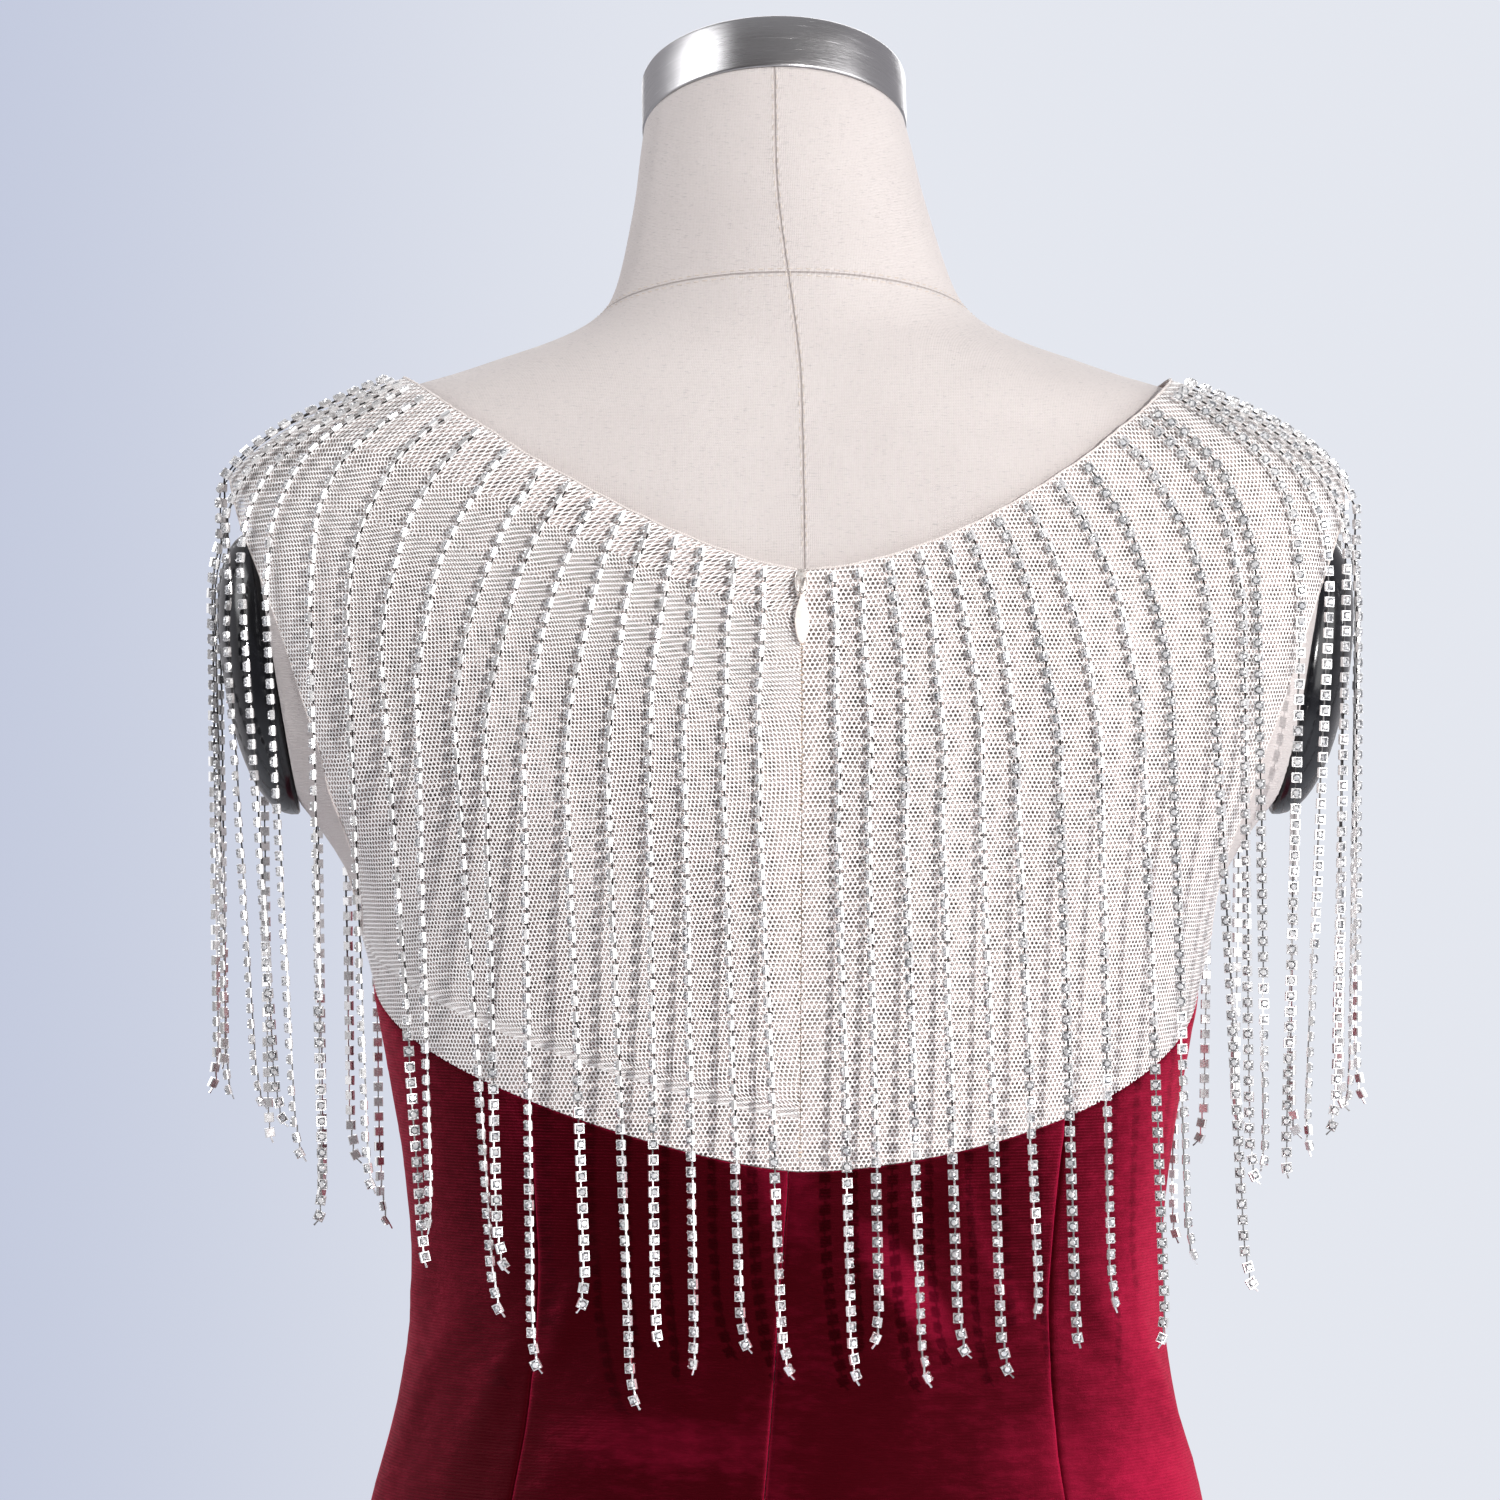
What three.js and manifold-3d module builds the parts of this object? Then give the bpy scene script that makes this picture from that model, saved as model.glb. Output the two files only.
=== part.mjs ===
// A mermaid evening gown on a limbless dress form: a velvet body and skirt in seven panels, a net yoke in
// three, a fringe of stone chain hung from the neckline, an invisible zip with a drop pull, and the stand.
// Millimetres, +Z up. The front faces -Y, the wearer's left is +X, and the origin is on the floor under the
// middle of the base. Angles go round the figure in degrees: 0 front, 90 left side, 180 back.

import * as THREE from 'three';
import { mergeVertices } from 'three/addons/utils/BufferGeometryUtils.js';
import Module from 'manifold-3d';

const wasm = await Module();
wasm.setup();

const { degToRad, lerp, clamp } = THREE.MathUtils;

// Driving dimensions: the cloth
const SEAM_GAP = 0.3;
const VELVET = { gap: 1.0, wall: 2.0 };
const NET = { gap: 2.8, wall: 1.0 };
const EDGE_GAP = 0.5;
const HEM_HEIGHT = 12;
const FLUTES = 12;
const VELVET_STEP = 5;
const NET_STEP = 7.5;

// The figure from hem to neck, a row for each level. Columns: height, half width, depth to the front and to
// the back of the middle, how far back the middle is, squareness of the outline (2 is an ellipse), rise of
// the level from front to back, and depth of the skirt's flutes
const COLUMNS = ['height', 'wide', 'front', 'back', 'middle', 'square', 'rise', 'flute'];
const LEVELS = [
  [12, 380, 325, 405, 0, 2.0, 0, 24],
  [100, 332, 283, 345, 0, 2.0, 0, 21],
  [200, 273, 232, 277, 0, 2.0, 0, 16],
  [300, 214, 182, 210, 0, 2.0, 0, 9],
  [400, 165, 140, 156, 0, 2.05, 0, 3],
  [480, 138, 115, 125, 0, 2.1, 0, 0.5],
  [560, 129, 105, 112, 0, 2.1, 0, 0],
  [660, 138, 106, 114, 0, 2.1, 0, 0],
  [770, 154, 110, 121, 0, 2.15, 0, 0],
  [870, 163, 110, 125, 0, 2.2, 0, 0],
  [940, 159, 105, 119, 0, 2.2, 0, 0],
  [1003, 147, 98, 108, 0, 2.2, 0, 0],
  [1032, 139, 92, 101, 0, 2.2, 0, 0],
  [1061, 133.8, 88, 94, 0, 2.2, 0, 0],
  [1085, 132.2, 86, 89, 0, 2.2, 0, 0],
  [1111, 133.4, 87, 87.5, 0, 2.2, 0, 0],
  [1140, 137.2, 91, 89, 0, 2.2, 0, 0],
  [1169, 142.5, 96, 92, 0, 2.2, 0, 0],
  [1196, 146.8, 100, 95, 0, 2.2, 0, 0],
  [1214, 151, 101, 97, 0, 2.2, 0, 0],
  [1229, 157.5, 101, 98.5, 0, 2.2, 0, 0],
  [1240, 164, 100, 99.5, 0, 2.2, 0, 0],
  [1247, 169, 99, 100, 0, 2.2, 0, 0],
  [1254, 174.5, 98, 100.5, 0, 2.2, 0, 0],
  [1262, 180.5, 96.5, 101, 0, 2.2, 0, 0],
  [1275, 188, 93, 101.5, 0, 2.2, 0, 0],
  [1290, 194, 89.5, 101.5, 0, 2.2, 0, 0],
  [1310, 199.5, 84.5, 100.5, 0, 2.2, 0, 0],
  [1330, 203, 79, 97.5, 0, 2.2, 0, 0],
  [1350, 204, 72, 92.5, 0, 2.15, 0, 0],
  [1362, 201, 67, 89, 0, 2.1, 0, 0],
  [1372, 195, 62, 85, 0, 2.1, 0, 0],
  [1380, 186, 59, 81.5, 1, 2.05, 0, 0],
  [1387, 175, 57, 78, 1, 2.0, 0, 0],
  [1395, 158, 54, 73.5, 2, 2.0, 0, 0],
  [1403, 138, 52, 69, 2, 2.0, 0, 0],
  [1408.6, 119, 51, 65.5, 2, 2.0, 0, 0],
  [1414, 103, 50.5, 62, 2, 2.0, 0, 0],
  [1419.4, 87, 50, 59, 2, 2.0, 0, 0],
  [1425, 74.5, 50, 56.5, 2, 2.0, 0, 0],
  [1431, 66, 50, 54.5, 2, 2.0, 0.02, 0],
  [1438, 61.5, 50, 53, 1, 2.0, 0.06, 0],
  [1448, 58, 49.5, 51.5, 0, 2.0, 0.12, 0],
  [1460, 54.8, 48.5, 50, -2, 2.0, 0.2, 0],
  [1473, 51.7, 47.5, 49, -5, 2.0, 0.29, 0],
  [1486, 49.4, 47, 48, -8, 2.0, 0.36, 0],
  [1497, 47.3, 46.5, 47, -11, 2.0, 0.4, 0],
];
const NECK_TOP = 1497;
// From this height up the neck leans towards +X, by this much for each millimetre
const NECK_LEAN = { from: 1425, slope: 0.055 };
const BUST = { angle: 29, height: 1204, spread: 22, rise: 52, depth: 13 };

// The form's own sizes
const FORM_BOTTOM = 800;
const FORM_TUCK = 0.95;
const FORM_STEP = 11.25;
const ARM_CUT = { x: 193, height: 1363.6, lean: 0.164, bottom: 1254 };
const ARM_PLATE = { height: 1301.5, tall: 103, deep: 72, dome: 19.3, bluntness: 2.3 };
const NECK_CAP = { height: 21, lip: 0.5, bevel: 1.5 };
const POLE_RADIUS = 16;
const BASE = { radius: 175, thick: 9, bevel: 2.5, bossRadius: 34, bossTop: 38 };

// Heights of the velvet's top edge and of the neckline
const TOP_EDGE = { back: 1127.5, side: 1191, front: 1248, dip: 9, dipSpread: 15, backPower: 1.37, tilt: 3.6 };
const NECKLINE = { back: 1335.2, front: 1352, shoulder: 1403.6, halfWidth: 136, frontPower: 1.9 };
const NECKLINE_BACK_POWER = { left: 1.42, right: 1.75 };

// Princess seams, as the angle from the centre back or front at the top edge and at the hem, and how far the
// centre back seam stands off the centre at the top edge and from the hip down
const PRINCESS = { back: { left: [40.5, 42], right: [40.5, 34] }, front: [36, 36] };
const BACK_SEAM = { top: 1.2, hip: 4.4 };

// The armhole in the yoke: how far it reaches from the side seam, and its height as a share of the yoke's
const ARMHOLE = { reach: 29.8, middle: 0.465, half: 0.375, bluntness: 2.5, taper: 1.45 };

// The fringe. SEWN gives, for a chain that starts at this angle, where its sewn part ends and how far below
// the neckline that is
const CHAIN = { wide: 3.4, thick: 2.4, lift: 6.4, pitch: 5.5, rootDrop: 2, tolerance: 1.3, sewnSteps: 14, step: 5 };
const SEWN = [
  { root: 90, end: 88.5, drop: 34 },
  { root: 98, end: 95, drop: 36 },
  { root: 108, end: 104, drop: 45 },
  { root: 118, end: 115, drop: 56 },
  { root: 125, end: 125, drop: 59 },
  { root: 133, end: 130, drop: 64 },
  { root: 140, end: 133.5, drop: 71 },
  { root: 147, end: 138.5, drop: 77 },
  { root: 153, end: 143, drop: 82 },
  { root: 158, end: 148, drop: 85 },
  { root: 163, end: 154.5, drop: 90 },
  { root: 170, end: 166, drop: 90 },
  { root: 180, end: 180, drop: 88 },
];
// The back's chains on each side, from the centre outwards: the start as a share of the neckline's length, the
// number of stones, and how far the chain leans towards +X in 100 mm
const CHAINS = {
  left: [
    [0.066, 51, -4.7], [0.118, 50, -3.3], [0.176, 52, -1.9], [0.225, 51, -1.4], [0.275, 56, -3.9],
    [0.324, 51, -4.1], [0.378, 56, -1.4], [0.434, 51, -2.7], [0.489, 55, -6.7], [0.555, 51, -2.6],
    [0.62, 55, -7.2], [0.685, 52, -3.6], [0.758, 56, -2.4], [0.81, 54, -5.3], [0.842, 53, -6.7],
    [0.878, 53, -6.3], [0.924, 51, -2.7],
  ],
  right: [
    [0.052, 51, -3], [0.099, 49, -2.4], [0.154, 52, -3.5], [0.21, 51, -3.3], [0.26, 53, -3.9],
    [0.303, 50, -4.7], [0.357, 53, -3], [0.414, 52, -2.4], [0.486, 56, -4.1], [0.539, 52, -3.3],
    [0.617, 56, -5.4], [0.679, 51, -1.3], [0.713, 51, -1.6], [0.79, 54, 2.9], [0.822, 54, 4.3],
    [0.858, 54, 2], [0.9, 53, 0.4],
  ],
};
// The front's chains are spaced evenly, and lean towards the centre
const FRONT_CHAINS = { count: 16, edge: 0.026, lean: 1.3 };
const STRIP = { tall: 3.6, inner: 4.5, outer: 6.1, start: 6, shoulder: 0.3 };

// The zip
const TAPE = { wide: 11, inner: 0.5, outer: 2.1 };
const SLIDER = { height: 1330.2, wide: 4.8, tall: 10, thick: 2, lift: 0.35 };
const EAR = { inner: 1.1, outer: 1.9, tall: 2.8, top: 5.2 };
const BAR = { radius: 0.5, out: 4.3, below: 3.2 };
const PULL = { eye: 0.85, rim: 1.55, thick: 1.4, neck: 1.5, neckLength: 2.5, wide: 5.2, middle: 10, long: 18.5 };

// Materials
const velvet = { color: 0x7d0f26, roughness: 0.55, metalness: 0 };
const net = { color: 0xe3d6cf, roughness: 0.85, metalness: 0 };
const chain = { color: 0xd9dadd, roughness: 0.2, metalness: 0.9 };
const linen = { color: 0xdcd0c4, roughness: 0.95, metalness: 0 };
const steel = { color: 0xb4b6b8, roughness: 0.35, metalness: 1 };
const blackGloss = { color: 0x16171a, roughness: 0.15, metalness: 0 };
const tapeCloth = { color: 0xeee2d8, roughness: 0.8, metalness: 0 };
const cream = { color: 0xf1e4da, roughness: 0.35, metalness: 0 };

// The figure's sizes at any height, on a smooth curve through the rows
function levelAt(height) {
  let i = 0;
  while (i < LEVELS.length - 2 && height > LEVELS[i + 1][0]) i += 1;
  const [low, high] = [LEVELS[i], LEVELS[i + 1]];
  const before = LEVELS[Math.max(i - 1, 0)];
  const after = LEVELS[Math.min(i + 2, LEVELS.length - 1)];
  const span = high[0] - low[0];
  const t = clamp((height - low[0]) / span, 0, 1);
  const level = {};
  COLUMNS.forEach((name, k) => {
    const slopeLow = (high[k] - before[k]) / (high[0] - before[0]);
    const slopeHigh = (after[k] - low[k]) / (after[0] - low[0]);
    level[name] = (2 * t ** 3 - 3 * t ** 2 + 1) * low[k] + (t ** 3 - 2 * t ** 2 + t) * span * slopeLow
      + (3 * t ** 2 - 2 * t ** 3) * high[k] + (t ** 3 - t ** 2) * span * slopeHigh;
  });
  return level;
}

// The angle from the centre front, 0 to 180, for an angle on either side
function fromFront(angle) {
  return Math.abs(((angle + 540) % 360) - 180);
}

function bustAt(angle, height) {
  const across = (fromFront(angle) - BUST.angle) / BUST.spread;
  const along = (height - BUST.height) / BUST.rise;
  return BUST.depth * Math.exp(-(across ** 2) - along ** 2);
}

// Uneven waves round the hem
function fluteAt(angle) {
  const turn = degToRad(angle);
  return Math.cos(FLUTES * turn + 0.7 * Math.sin(2 * turn + 0.6)) * (1 + 0.25 * Math.sin(3 * turn + 1));
}

function leanAt(height) {
  return NECK_LEAN.slope * Math.max(0, height - NECK_LEAN.from);
}

function figurePoint(angle, height) {
  const level = levelAt(height);
  const turn = degToRad(angle);
  const sine = Math.sin(turn);
  const toBack = -Math.cos(turn);
  const power = 2 / level.square;
  const depth = toBack > 0 ? level.back : level.front;
  const x = level.wide * Math.sign(sine) * Math.abs(sine) ** power;
  const y = depth * Math.sign(toBack) * Math.abs(toBack) ** power;
  const swell = 1 + (level.flute * fluteAt(angle)) / Math.hypot(x, y);
  const aside = leanAt(height) + x * swell;
  return new THREE.Vector3(aside, level.middle + y * swell - bustAt(angle, height), height + level.rise * y);
}

// A point of the figure moved out by a distance, square to its surface
function skin(angle, height, out) {
  const along = figurePoint(angle + 0.5, height).sub(figurePoint(angle - 0.5, height));
  const up = figurePoint(angle, height + 1).sub(figurePoint(angle, height - 1));
  return figurePoint(angle, height).addScaledVector(along.cross(up).normalize(), out);
}

function outward(angle, height) {
  return skin(angle, height, 1).sub(figurePoint(angle, height));
}

// The height of the velvet's top edge, straight between the net's columns
function topEdgeCurve(angle) {
  const round = fromFront(angle);
  if (round > 90) {
    const share = ((180 - round) / 90) ** TOP_EDGE.backPower;
    return lerp(TOP_EDGE.back, TOP_EDGE.side, share) + TOP_EDGE.tilt * Math.sin(degToRad(2 * (180 - angle)));
  }
  const rise = Math.cos(degToRad(round)) ** 1.3;
  const dip = TOP_EDGE.dip * Math.exp(-((round / TOP_EDGE.dipSpread) ** 2));
  return lerp(TOP_EDGE.side, TOP_EDGE.front, rise) - dip;
}

function topEdge(angle) {
  const below = Math.floor(angle / NET_STEP) * NET_STEP;
  return lerp(topEdgeCurve(below), topEdgeCurve(below + NET_STEP), (angle - below) / NET_STEP);
}

// The neckline's height at an angle: where the figure meets the neckline as seen from the back or front
function neckline(angle) {
  const back = fromFront(angle) > 90;
  const bottom = back ? NECKLINE.back : NECKLINE.front;
  const hand = Math.sin(degToRad(angle)) < 0 ? 'right' : 'left';
  const power = back ? NECKLINE_BACK_POWER[hand] : NECKLINE.frontPower;
  let low = bottom - 1;
  let high = 1425;
  for (let i = 0; i < 40; i += 1) {
    const height = (low + high) / 2;
    const share = Math.abs(figurePoint(angle, height).x) / NECKLINE.halfWidth;
    if (height < lerp(bottom, NECKLINE.shoulder, share ** power)) low = height;
    else high = height;
  }
  return low;
}

// The angle that is a distance along the surface away from another, for the gaps at seams
function shifted(angle, height, distance) {
  const perDegree = figurePoint(angle + 0.5, height).distanceTo(figurePoint(angle - 0.5, height));
  return angle + distance / perDegree;
}

function makeMesh(name, geometry, look) {
  const mesh = new THREE.Mesh(geometry, new THREE.MeshStandardMaterial(look));
  mesh.name = name;
  return mesh;
}

function indexed(points, index) {
  const geometry = new THREE.BufferGeometry();
  geometry.setAttribute('position', new THREE.Float32BufferAttribute(points.flatMap((p) => p.toArray()), 3));
  geometry.setIndex(index);
  geometry.computeVertexNormals();
  return geometry;
}

// A closed wall over rows of [angle, height] pairs, lowest row first, between two distances from the figure
function wallGeometry(rows, inner, outer) {
  const last = rows.length - 1;
  const end = rows[0].length - 1;
  const points = [outer, inner].flatMap((out) => rows.flat().map(([a, h]) => skin(a, h, out)));
  const at = (face, i, j) => (face * rows.length + i) * rows[0].length + j;
  const index = [];
  const quad = (a, b, c, d) => index.push(a, b, c, a, c, d);
  for (let i = 0; i < last; i += 1) {
    for (let j = 0; j < end; j += 1) {
      quad(at(0, i, j), at(0, i, j + 1), at(0, i + 1, j + 1), at(0, i + 1, j));
      quad(at(1, i, j), at(1, i + 1, j), at(1, i + 1, j + 1), at(1, i, j + 1));
    }
    quad(at(0, i, 0), at(0, i + 1, 0), at(1, i + 1, 0), at(1, i, 0));
    quad(at(0, i + 1, end), at(0, i, end), at(1, i, end), at(1, i + 1, end));
  }
  for (let j = 0; j < end; j += 1) {
    quad(at(0, 0, j), at(1, 0, j), at(1, 0, j + 1), at(0, 0, j + 1));
    quad(at(0, last, j), at(0, last, j + 1), at(1, last, j + 1), at(1, last, j));
  }
  return indexed(points, index);
}

// A closed solid through rings of points, lowest first, each ring going from -Y by +X to +Y
function loftGeometry(rings) {
  const count = rings[0].length;
  const points = rings.flat();
  const index = [];
  for (let i = 0; i + 1 < rings.length; i += 1) {
    for (let j = 0; j < count; j += 1) {
      const [a, b] = [i * count + j, i * count + ((j + 1) % count)];
      index.push(a, b, b + count, a, b + count, a + count);
    }
  }
  const top = (rings.length - 1) * count;
  for (let j = 1; j + 1 < count; j += 1) {
    index.push(0, j + 1, j);
    index.push(top, top + j, top + j + 1);
  }
  return indexed(points, index);
}

function toSolid(geometry, matrix = new THREE.Matrix4()) {
  const plain = geometry.clone().applyMatrix4(matrix);
  plain.deleteAttribute('normal');
  plain.deleteAttribute('uv');
  const merged = mergeVertices(plain, 1e-4);
  return new wasm.Manifold(new wasm.Mesh({
    numProp: 3,
    vertProperties: merged.attributes.position.array,
    triVerts: Uint32Array.from(merged.index.array),
  }));
}

function fromSolid(solid) {
  const { vertProperties, triVerts } = solid.getMesh();
  const geometry = new THREE.BufferGeometry();
  geometry.setAttribute('position', new THREE.BufferAttribute(Float32Array.from(vertProperties), 3));
  geometry.setIndex(Array.from(triVerts));
  geometry.computeVertexNormals();
  return geometry;
}

function joined(solids) {
  return solids.reduce((whole, next) => whole.add(next));
}

// Velvet
const VELVET_HEIGHTS = [HEM_HEIGHT, 75, 145, 220, 295, 365, 435, 520, 640, 760, 870, 940, 1003, 1058];

function princess(side, part, height) {
  const [top, hem] = part === 'back' ? PRINCESS.back[side] : PRINCESS.front;
  return lerp(hem, top, clamp((height - 900) / 220, 0, 1));
}

function centreBack(height) {
  return 180 - lerp(BACK_SEAM.hip, BACK_SEAM.top, clamp((height - 1003) / 118, 0, 1));
}

// One panel between two seams, each given as a function of height that returns its angle. The rows above the
// waist rise to the top edge.
function velvetPanel(name, seamFrom, seamTo, topRows) {
  const columns = Math.round((seamTo(1100) - seamFrom(1100)) / VELVET_STEP);
  const row = (heightAt) => Array.from({ length: columns + 1 }, (_, j) => {
    const guess = heightAt(lerp(seamFrom(1100), seamTo(1100), j / columns));
    const from = shifted(seamFrom(guess), guess, SEAM_GAP / 2);
    const to = shifted(seamTo(guess), guess, -SEAM_GAP / 2);
    const angle = lerp(from, to, j / columns);
    return [angle, heightAt(angle)];
  });
  const edge = (angle) => topEdge(angle) - EDGE_GAP / 2;
  const rows = VELVET_HEIGHTS.map((height) => row(() => height));
  for (let i = 1; i <= topRows; i += 1) rows.push(row((angle) => lerp(VELVET_HEIGHTS.at(-1), edge(angle), i / topRows)));
  return makeMesh(name, wallGeometry(rows, VELVET.gap, VELVET.gap + VELVET.wall), velvet);
}

function buildVelvet() {
  const frontLeft = (h) => princess('left', 'front', h);
  const frontRight = (h) => 360 - princess('right', 'front', h);
  const backLeft = (h) => 180 - princess('left', 'back', h);
  const backRight = (h) => 180 + princess('right', 'back', h);
  return [
    velvetPanel('front_center', (h) => frontRight(h) - 360, frontLeft, 8),
    velvetPanel('side_front_left', frontLeft, () => 90, 8),
    velvetPanel('side_back_left', () => 90, backLeft, 3),
    velvetPanel('back_left', backLeft, centreBack, 3),
    velvetPanel('back_right', centreBack, backRight, 3),
    velvetPanel('side_back_right', backRight, () => 270, 3),
    velvetPanel('side_front_right', () => 270, frontRight, 8),
  ];
}

// Net yoke. The rows rise from the velvet's edge to the neckline, and stop short at the armhole.
function yokeShares() {
  const notch = Array.from({ length: 9 }, (_, i) => ARMHOLE.middle - ARMHOLE.half * Math.cos((i * Math.PI) / 8));
  return [0, ...notch, 0.875, 0.92, 1];
}

// How far the armhole keeps the net from the side seam, in degrees, at a share of the yoke's height
function armholeReach(share) {
  const across = Math.abs(share - ARMHOLE.middle) / ARMHOLE.half;
  if (across >= 1) return 0;
  const narrowed = 1 - ARMHOLE.taper * Math.max(0, ARMHOLE.middle - share);
  return ARMHOLE.reach * narrowed * (1 - across ** ARMHOLE.bluntness) ** (1 / ARMHOLE.bluntness);
}

function yokePoint(angle, share) {
  const height = lerp(topEdge(angle) + EDGE_GAP / 2, neckline(angle), share);
  return [angle, height];
}

function yokePanel(name, from, to, fromIsSide, toIsSide) {
  const columns = Math.round((to - from) / NET_STEP);
  const rows = yokeShares().map((share) => {
    const reach = armholeReach(share);
    const start = shifted(from + (fromIsSide ? reach : 0), 1300, SEAM_GAP / 2);
    const end = shifted(to - (toIsSide ? reach : 0), 1300, -SEAM_GAP / 2);
    return Array.from({ length: columns + 1 }, (_, j) => yokePoint(lerp(start, end, j / columns), share));
  });
  return makeMesh(name, wallGeometry(rows, NET.gap, NET.gap + NET.wall), net);
}

function buildYoke() {
  return [
    yokePanel('yoke_front', -90, 90, true, true),
    yokePanel('yoke_back_left', 90, 180, true, false),
    yokePanel('yoke_back_right', 180, 270, false, true),
  ];
}

// Fringe
function sewnAt(round) {
  let i = 0;
  while (i < SEWN.length - 2 && round > SEWN[i + 1].root) i += 1;
  const t = (round - SEWN[i].root) / (SEWN[i + 1].root - SEWN[i].root);
  return {
    end: lerp(SEWN[i].end, SEWN[i + 1].end, t),
    drop: lerp(SEWN[i].drop, SEWN[i + 1].drop, t),
  };
}

// The form's flat at the armhole, as the half width at a height
function armCutAt(height) {
  return ARM_CUT.x - ARM_CUT.lean * (ARM_CUT.height - height);
}

// How far the arm plate stands out from its flat, for a chain whose middle is at this place
function armDomeAt(y, height) {
  const aside = Math.max(0, Math.abs(y) - CHAIN.wide) / (ARM_PLATE.deep / 2);
  const across = Math.hypot(aside, (height - ARM_PLATE.height) / (ARM_PLATE.tall / 2 + CHAIN.thick));
  if (across >= 1) return 0;
  return ARM_PLATE.dome * (1 - across ** ARM_PLATE.bluntness) ** (1 / ARM_PLATE.bluntness);
}

// The point of the figure, moved out by a lift, that lies in the same direction as a point of its level
function surfaceToward(point, lift) {
  const side = point.x < 0 ? -1 : 1;
  const { middle } = levelAt(point.z);
  const target = Math.atan2(Math.abs(point.x), middle - point.y);
  let [low, high] = [0, 180];
  for (let i = 0; i < 14; i += 1) {
    const round = (low + high) / 2;
    const there = skin(round, point.z, lift);
    if (Math.atan2(there.x, middle - there.y) < target) low = round;
    else high = round;
  }
  return skin(side * low, point.z, lift);
}

// Moves a point of a hanging chain clear of the form, the cloth on it and the arm plate
function pushedClear(point) {
  const surface = surfaceToward(point, CHAIN.lift);
  const { middle } = levelAt(point.z);
  const inside = Math.hypot(point.x, point.y - middle) < Math.hypot(surface.x, surface.y - middle);
  const flat = armCutAt(point.z);
  const besideArm = point.z > ARM_CUT.bottom && Math.abs(surface.x) > flat + CHAIN.lift;
  if (inside && !besideArm) {
    point.x = surface.x;
    point.y = surface.y;
  }
  const dome = armDomeAt(point.y, point.z);
  if ((besideArm && inside) || dome > 0) {
    const reach = flat + (dome > 0 ? dome + CHAIN.thick : CHAIN.lift);
    point.x = Math.sign(point.x) * Math.max(Math.abs(point.x), reach);
  }
  return point;
}

// Every few millimetres of one chain, each with the direction that its stones face
function chainPath(round, side, stones, lean) {
  const toAngle = (a) => side * a;
  const sewn = sewnAt(round > 90 ? round : 180 - round);
  const endRound = round > 90 ? sewn.end : 180 - sewn.end;
  const top = neckline(toAngle(round)) - CHAIN.rootDrop;
  const path = [];
  for (let i = 0; i <= CHAIN.sewnSteps; i += 1) {
    const t = i / CHAIN.sewnSteps;
    const angle = toAngle(lerp(round, endRound, t));
    const height = top - (sewn.drop - CHAIN.rootDrop) * t;
    path.push({ point: skin(angle, height, CHAIN.lift), facing: outward(angle, height) });
  }
  let length = 0;
  for (let i = 1; i < path.length; i += 1) length += path[i].point.distanceTo(path[i - 1].point);
  const facing = path.at(-1).facing.clone().setZ(0).normalize();
  while (length < stones * CHAIN.pitch) {
    const next = path.at(-1).point.clone();
    next.z -= CHAIN.step;
    next.x += (lean * CHAIN.step) / 100;
    pushedClear(next);
    length += next.distanceTo(path.at(-1).point);
    path.push({ point: next, facing });
  }
  return path;
}

// Keeps only the points that a path needs to stay within a tolerance of its shape
function simplified(path, tolerance) {
  if (path.length < 3) return path;
  const line = new THREE.Line3(path[0].point, path.at(-1).point);
  let worst = 0;
  let worstAt = 0;
  path.forEach(({ point }, i) => {
    const away = line.closestPointToPoint(point, true, new THREE.Vector3()).distanceTo(point);
    if (away > worst) [worst, worstAt] = [away, i];
  });
  if (worst < tolerance) return [path[0], path.at(-1)];
  const head = simplified(path.slice(0, worstAt + 1), tolerance);
  return [...head, ...simplified(path.slice(worstAt), tolerance).slice(1)];
}

// A four-sided strand along a path
function strandGeometry(path) {
  const rings = path.map(({ point, facing }, i) => {
    const ahead = path[Math.min(i + 1, path.length - 1)].point;
    const behind = path[Math.max(i - 1, 0)].point;
    const along = ahead.clone().sub(behind).normalize();
    const across = facing.clone().cross(along).normalize().multiplyScalar(CHAIN.wide / 2);
    const up = along.clone().cross(across).normalize().multiplyScalar(CHAIN.thick / 2);
    return [[-1, -1], [1, -1], [1, 1], [-1, 1]].map(([a, b]) => (
      point.clone().addScaledVector(across, a).addScaledVector(up, b)));
  });
  return loftGeometry(rings);
}

// Angles at shares of the way along the neckline, from its centre at the back or front to the shoulder
function chainRoots(shares, direction) {
  const centre = direction > 0 ? 180 : 0;
  const samples = Array.from({ length: 181 }, (_, i) => centre - (direction * i) / 2);
  const lengths = [0];
  for (let i = 1; i < samples.length; i += 1) {
    const [a, b] = [samples[i - 1], samples[i]];
    lengths.push(lengths[i - 1] + skin(a, neckline(a), 0).distanceTo(skin(b, neckline(b), 0)));
  }
  return shares.map((share) => {
    const target = share * lengths.at(-1);
    const i = lengths.findIndex((value) => value >= target);
    return lerp(samples[i - 1], samples[i], (target - lengths[i - 1]) / (lengths[i] - lengths[i - 1]));
  });
}

function strandSolids(rounds, side, stones, leans) {
  return rounds.map((round, k) => {
    const path = chainPath(round, side, stones[k], leans[k]);
    return toSolid(strandGeometry(simplified(path, CHAIN.tolerance)));
  });
}

function backStrands(side) {
  const rows = CHAINS[side > 0 ? 'left' : 'right'];
  const [shares, stones, leans] = [0, 1, 2].map((column) => rows.map((row) => row[column]));
  return strandSolids(chainRoots(shares, 1), side, stones, leans);
}

function frontStrands(side) {
  const { count, edge, lean } = FRONT_CHAINS;
  const stones = CHAINS[side > 0 ? 'left' : 'right'].map((row) => row[1]);
  const shares = Array.from({ length: count }, (_, k) => lerp(edge, 1 - edge, k / (count - 1)));
  return strandSolids(chainRoots(shares, -1), side, stones, shares.map(() => -side * lean));
}

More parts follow.
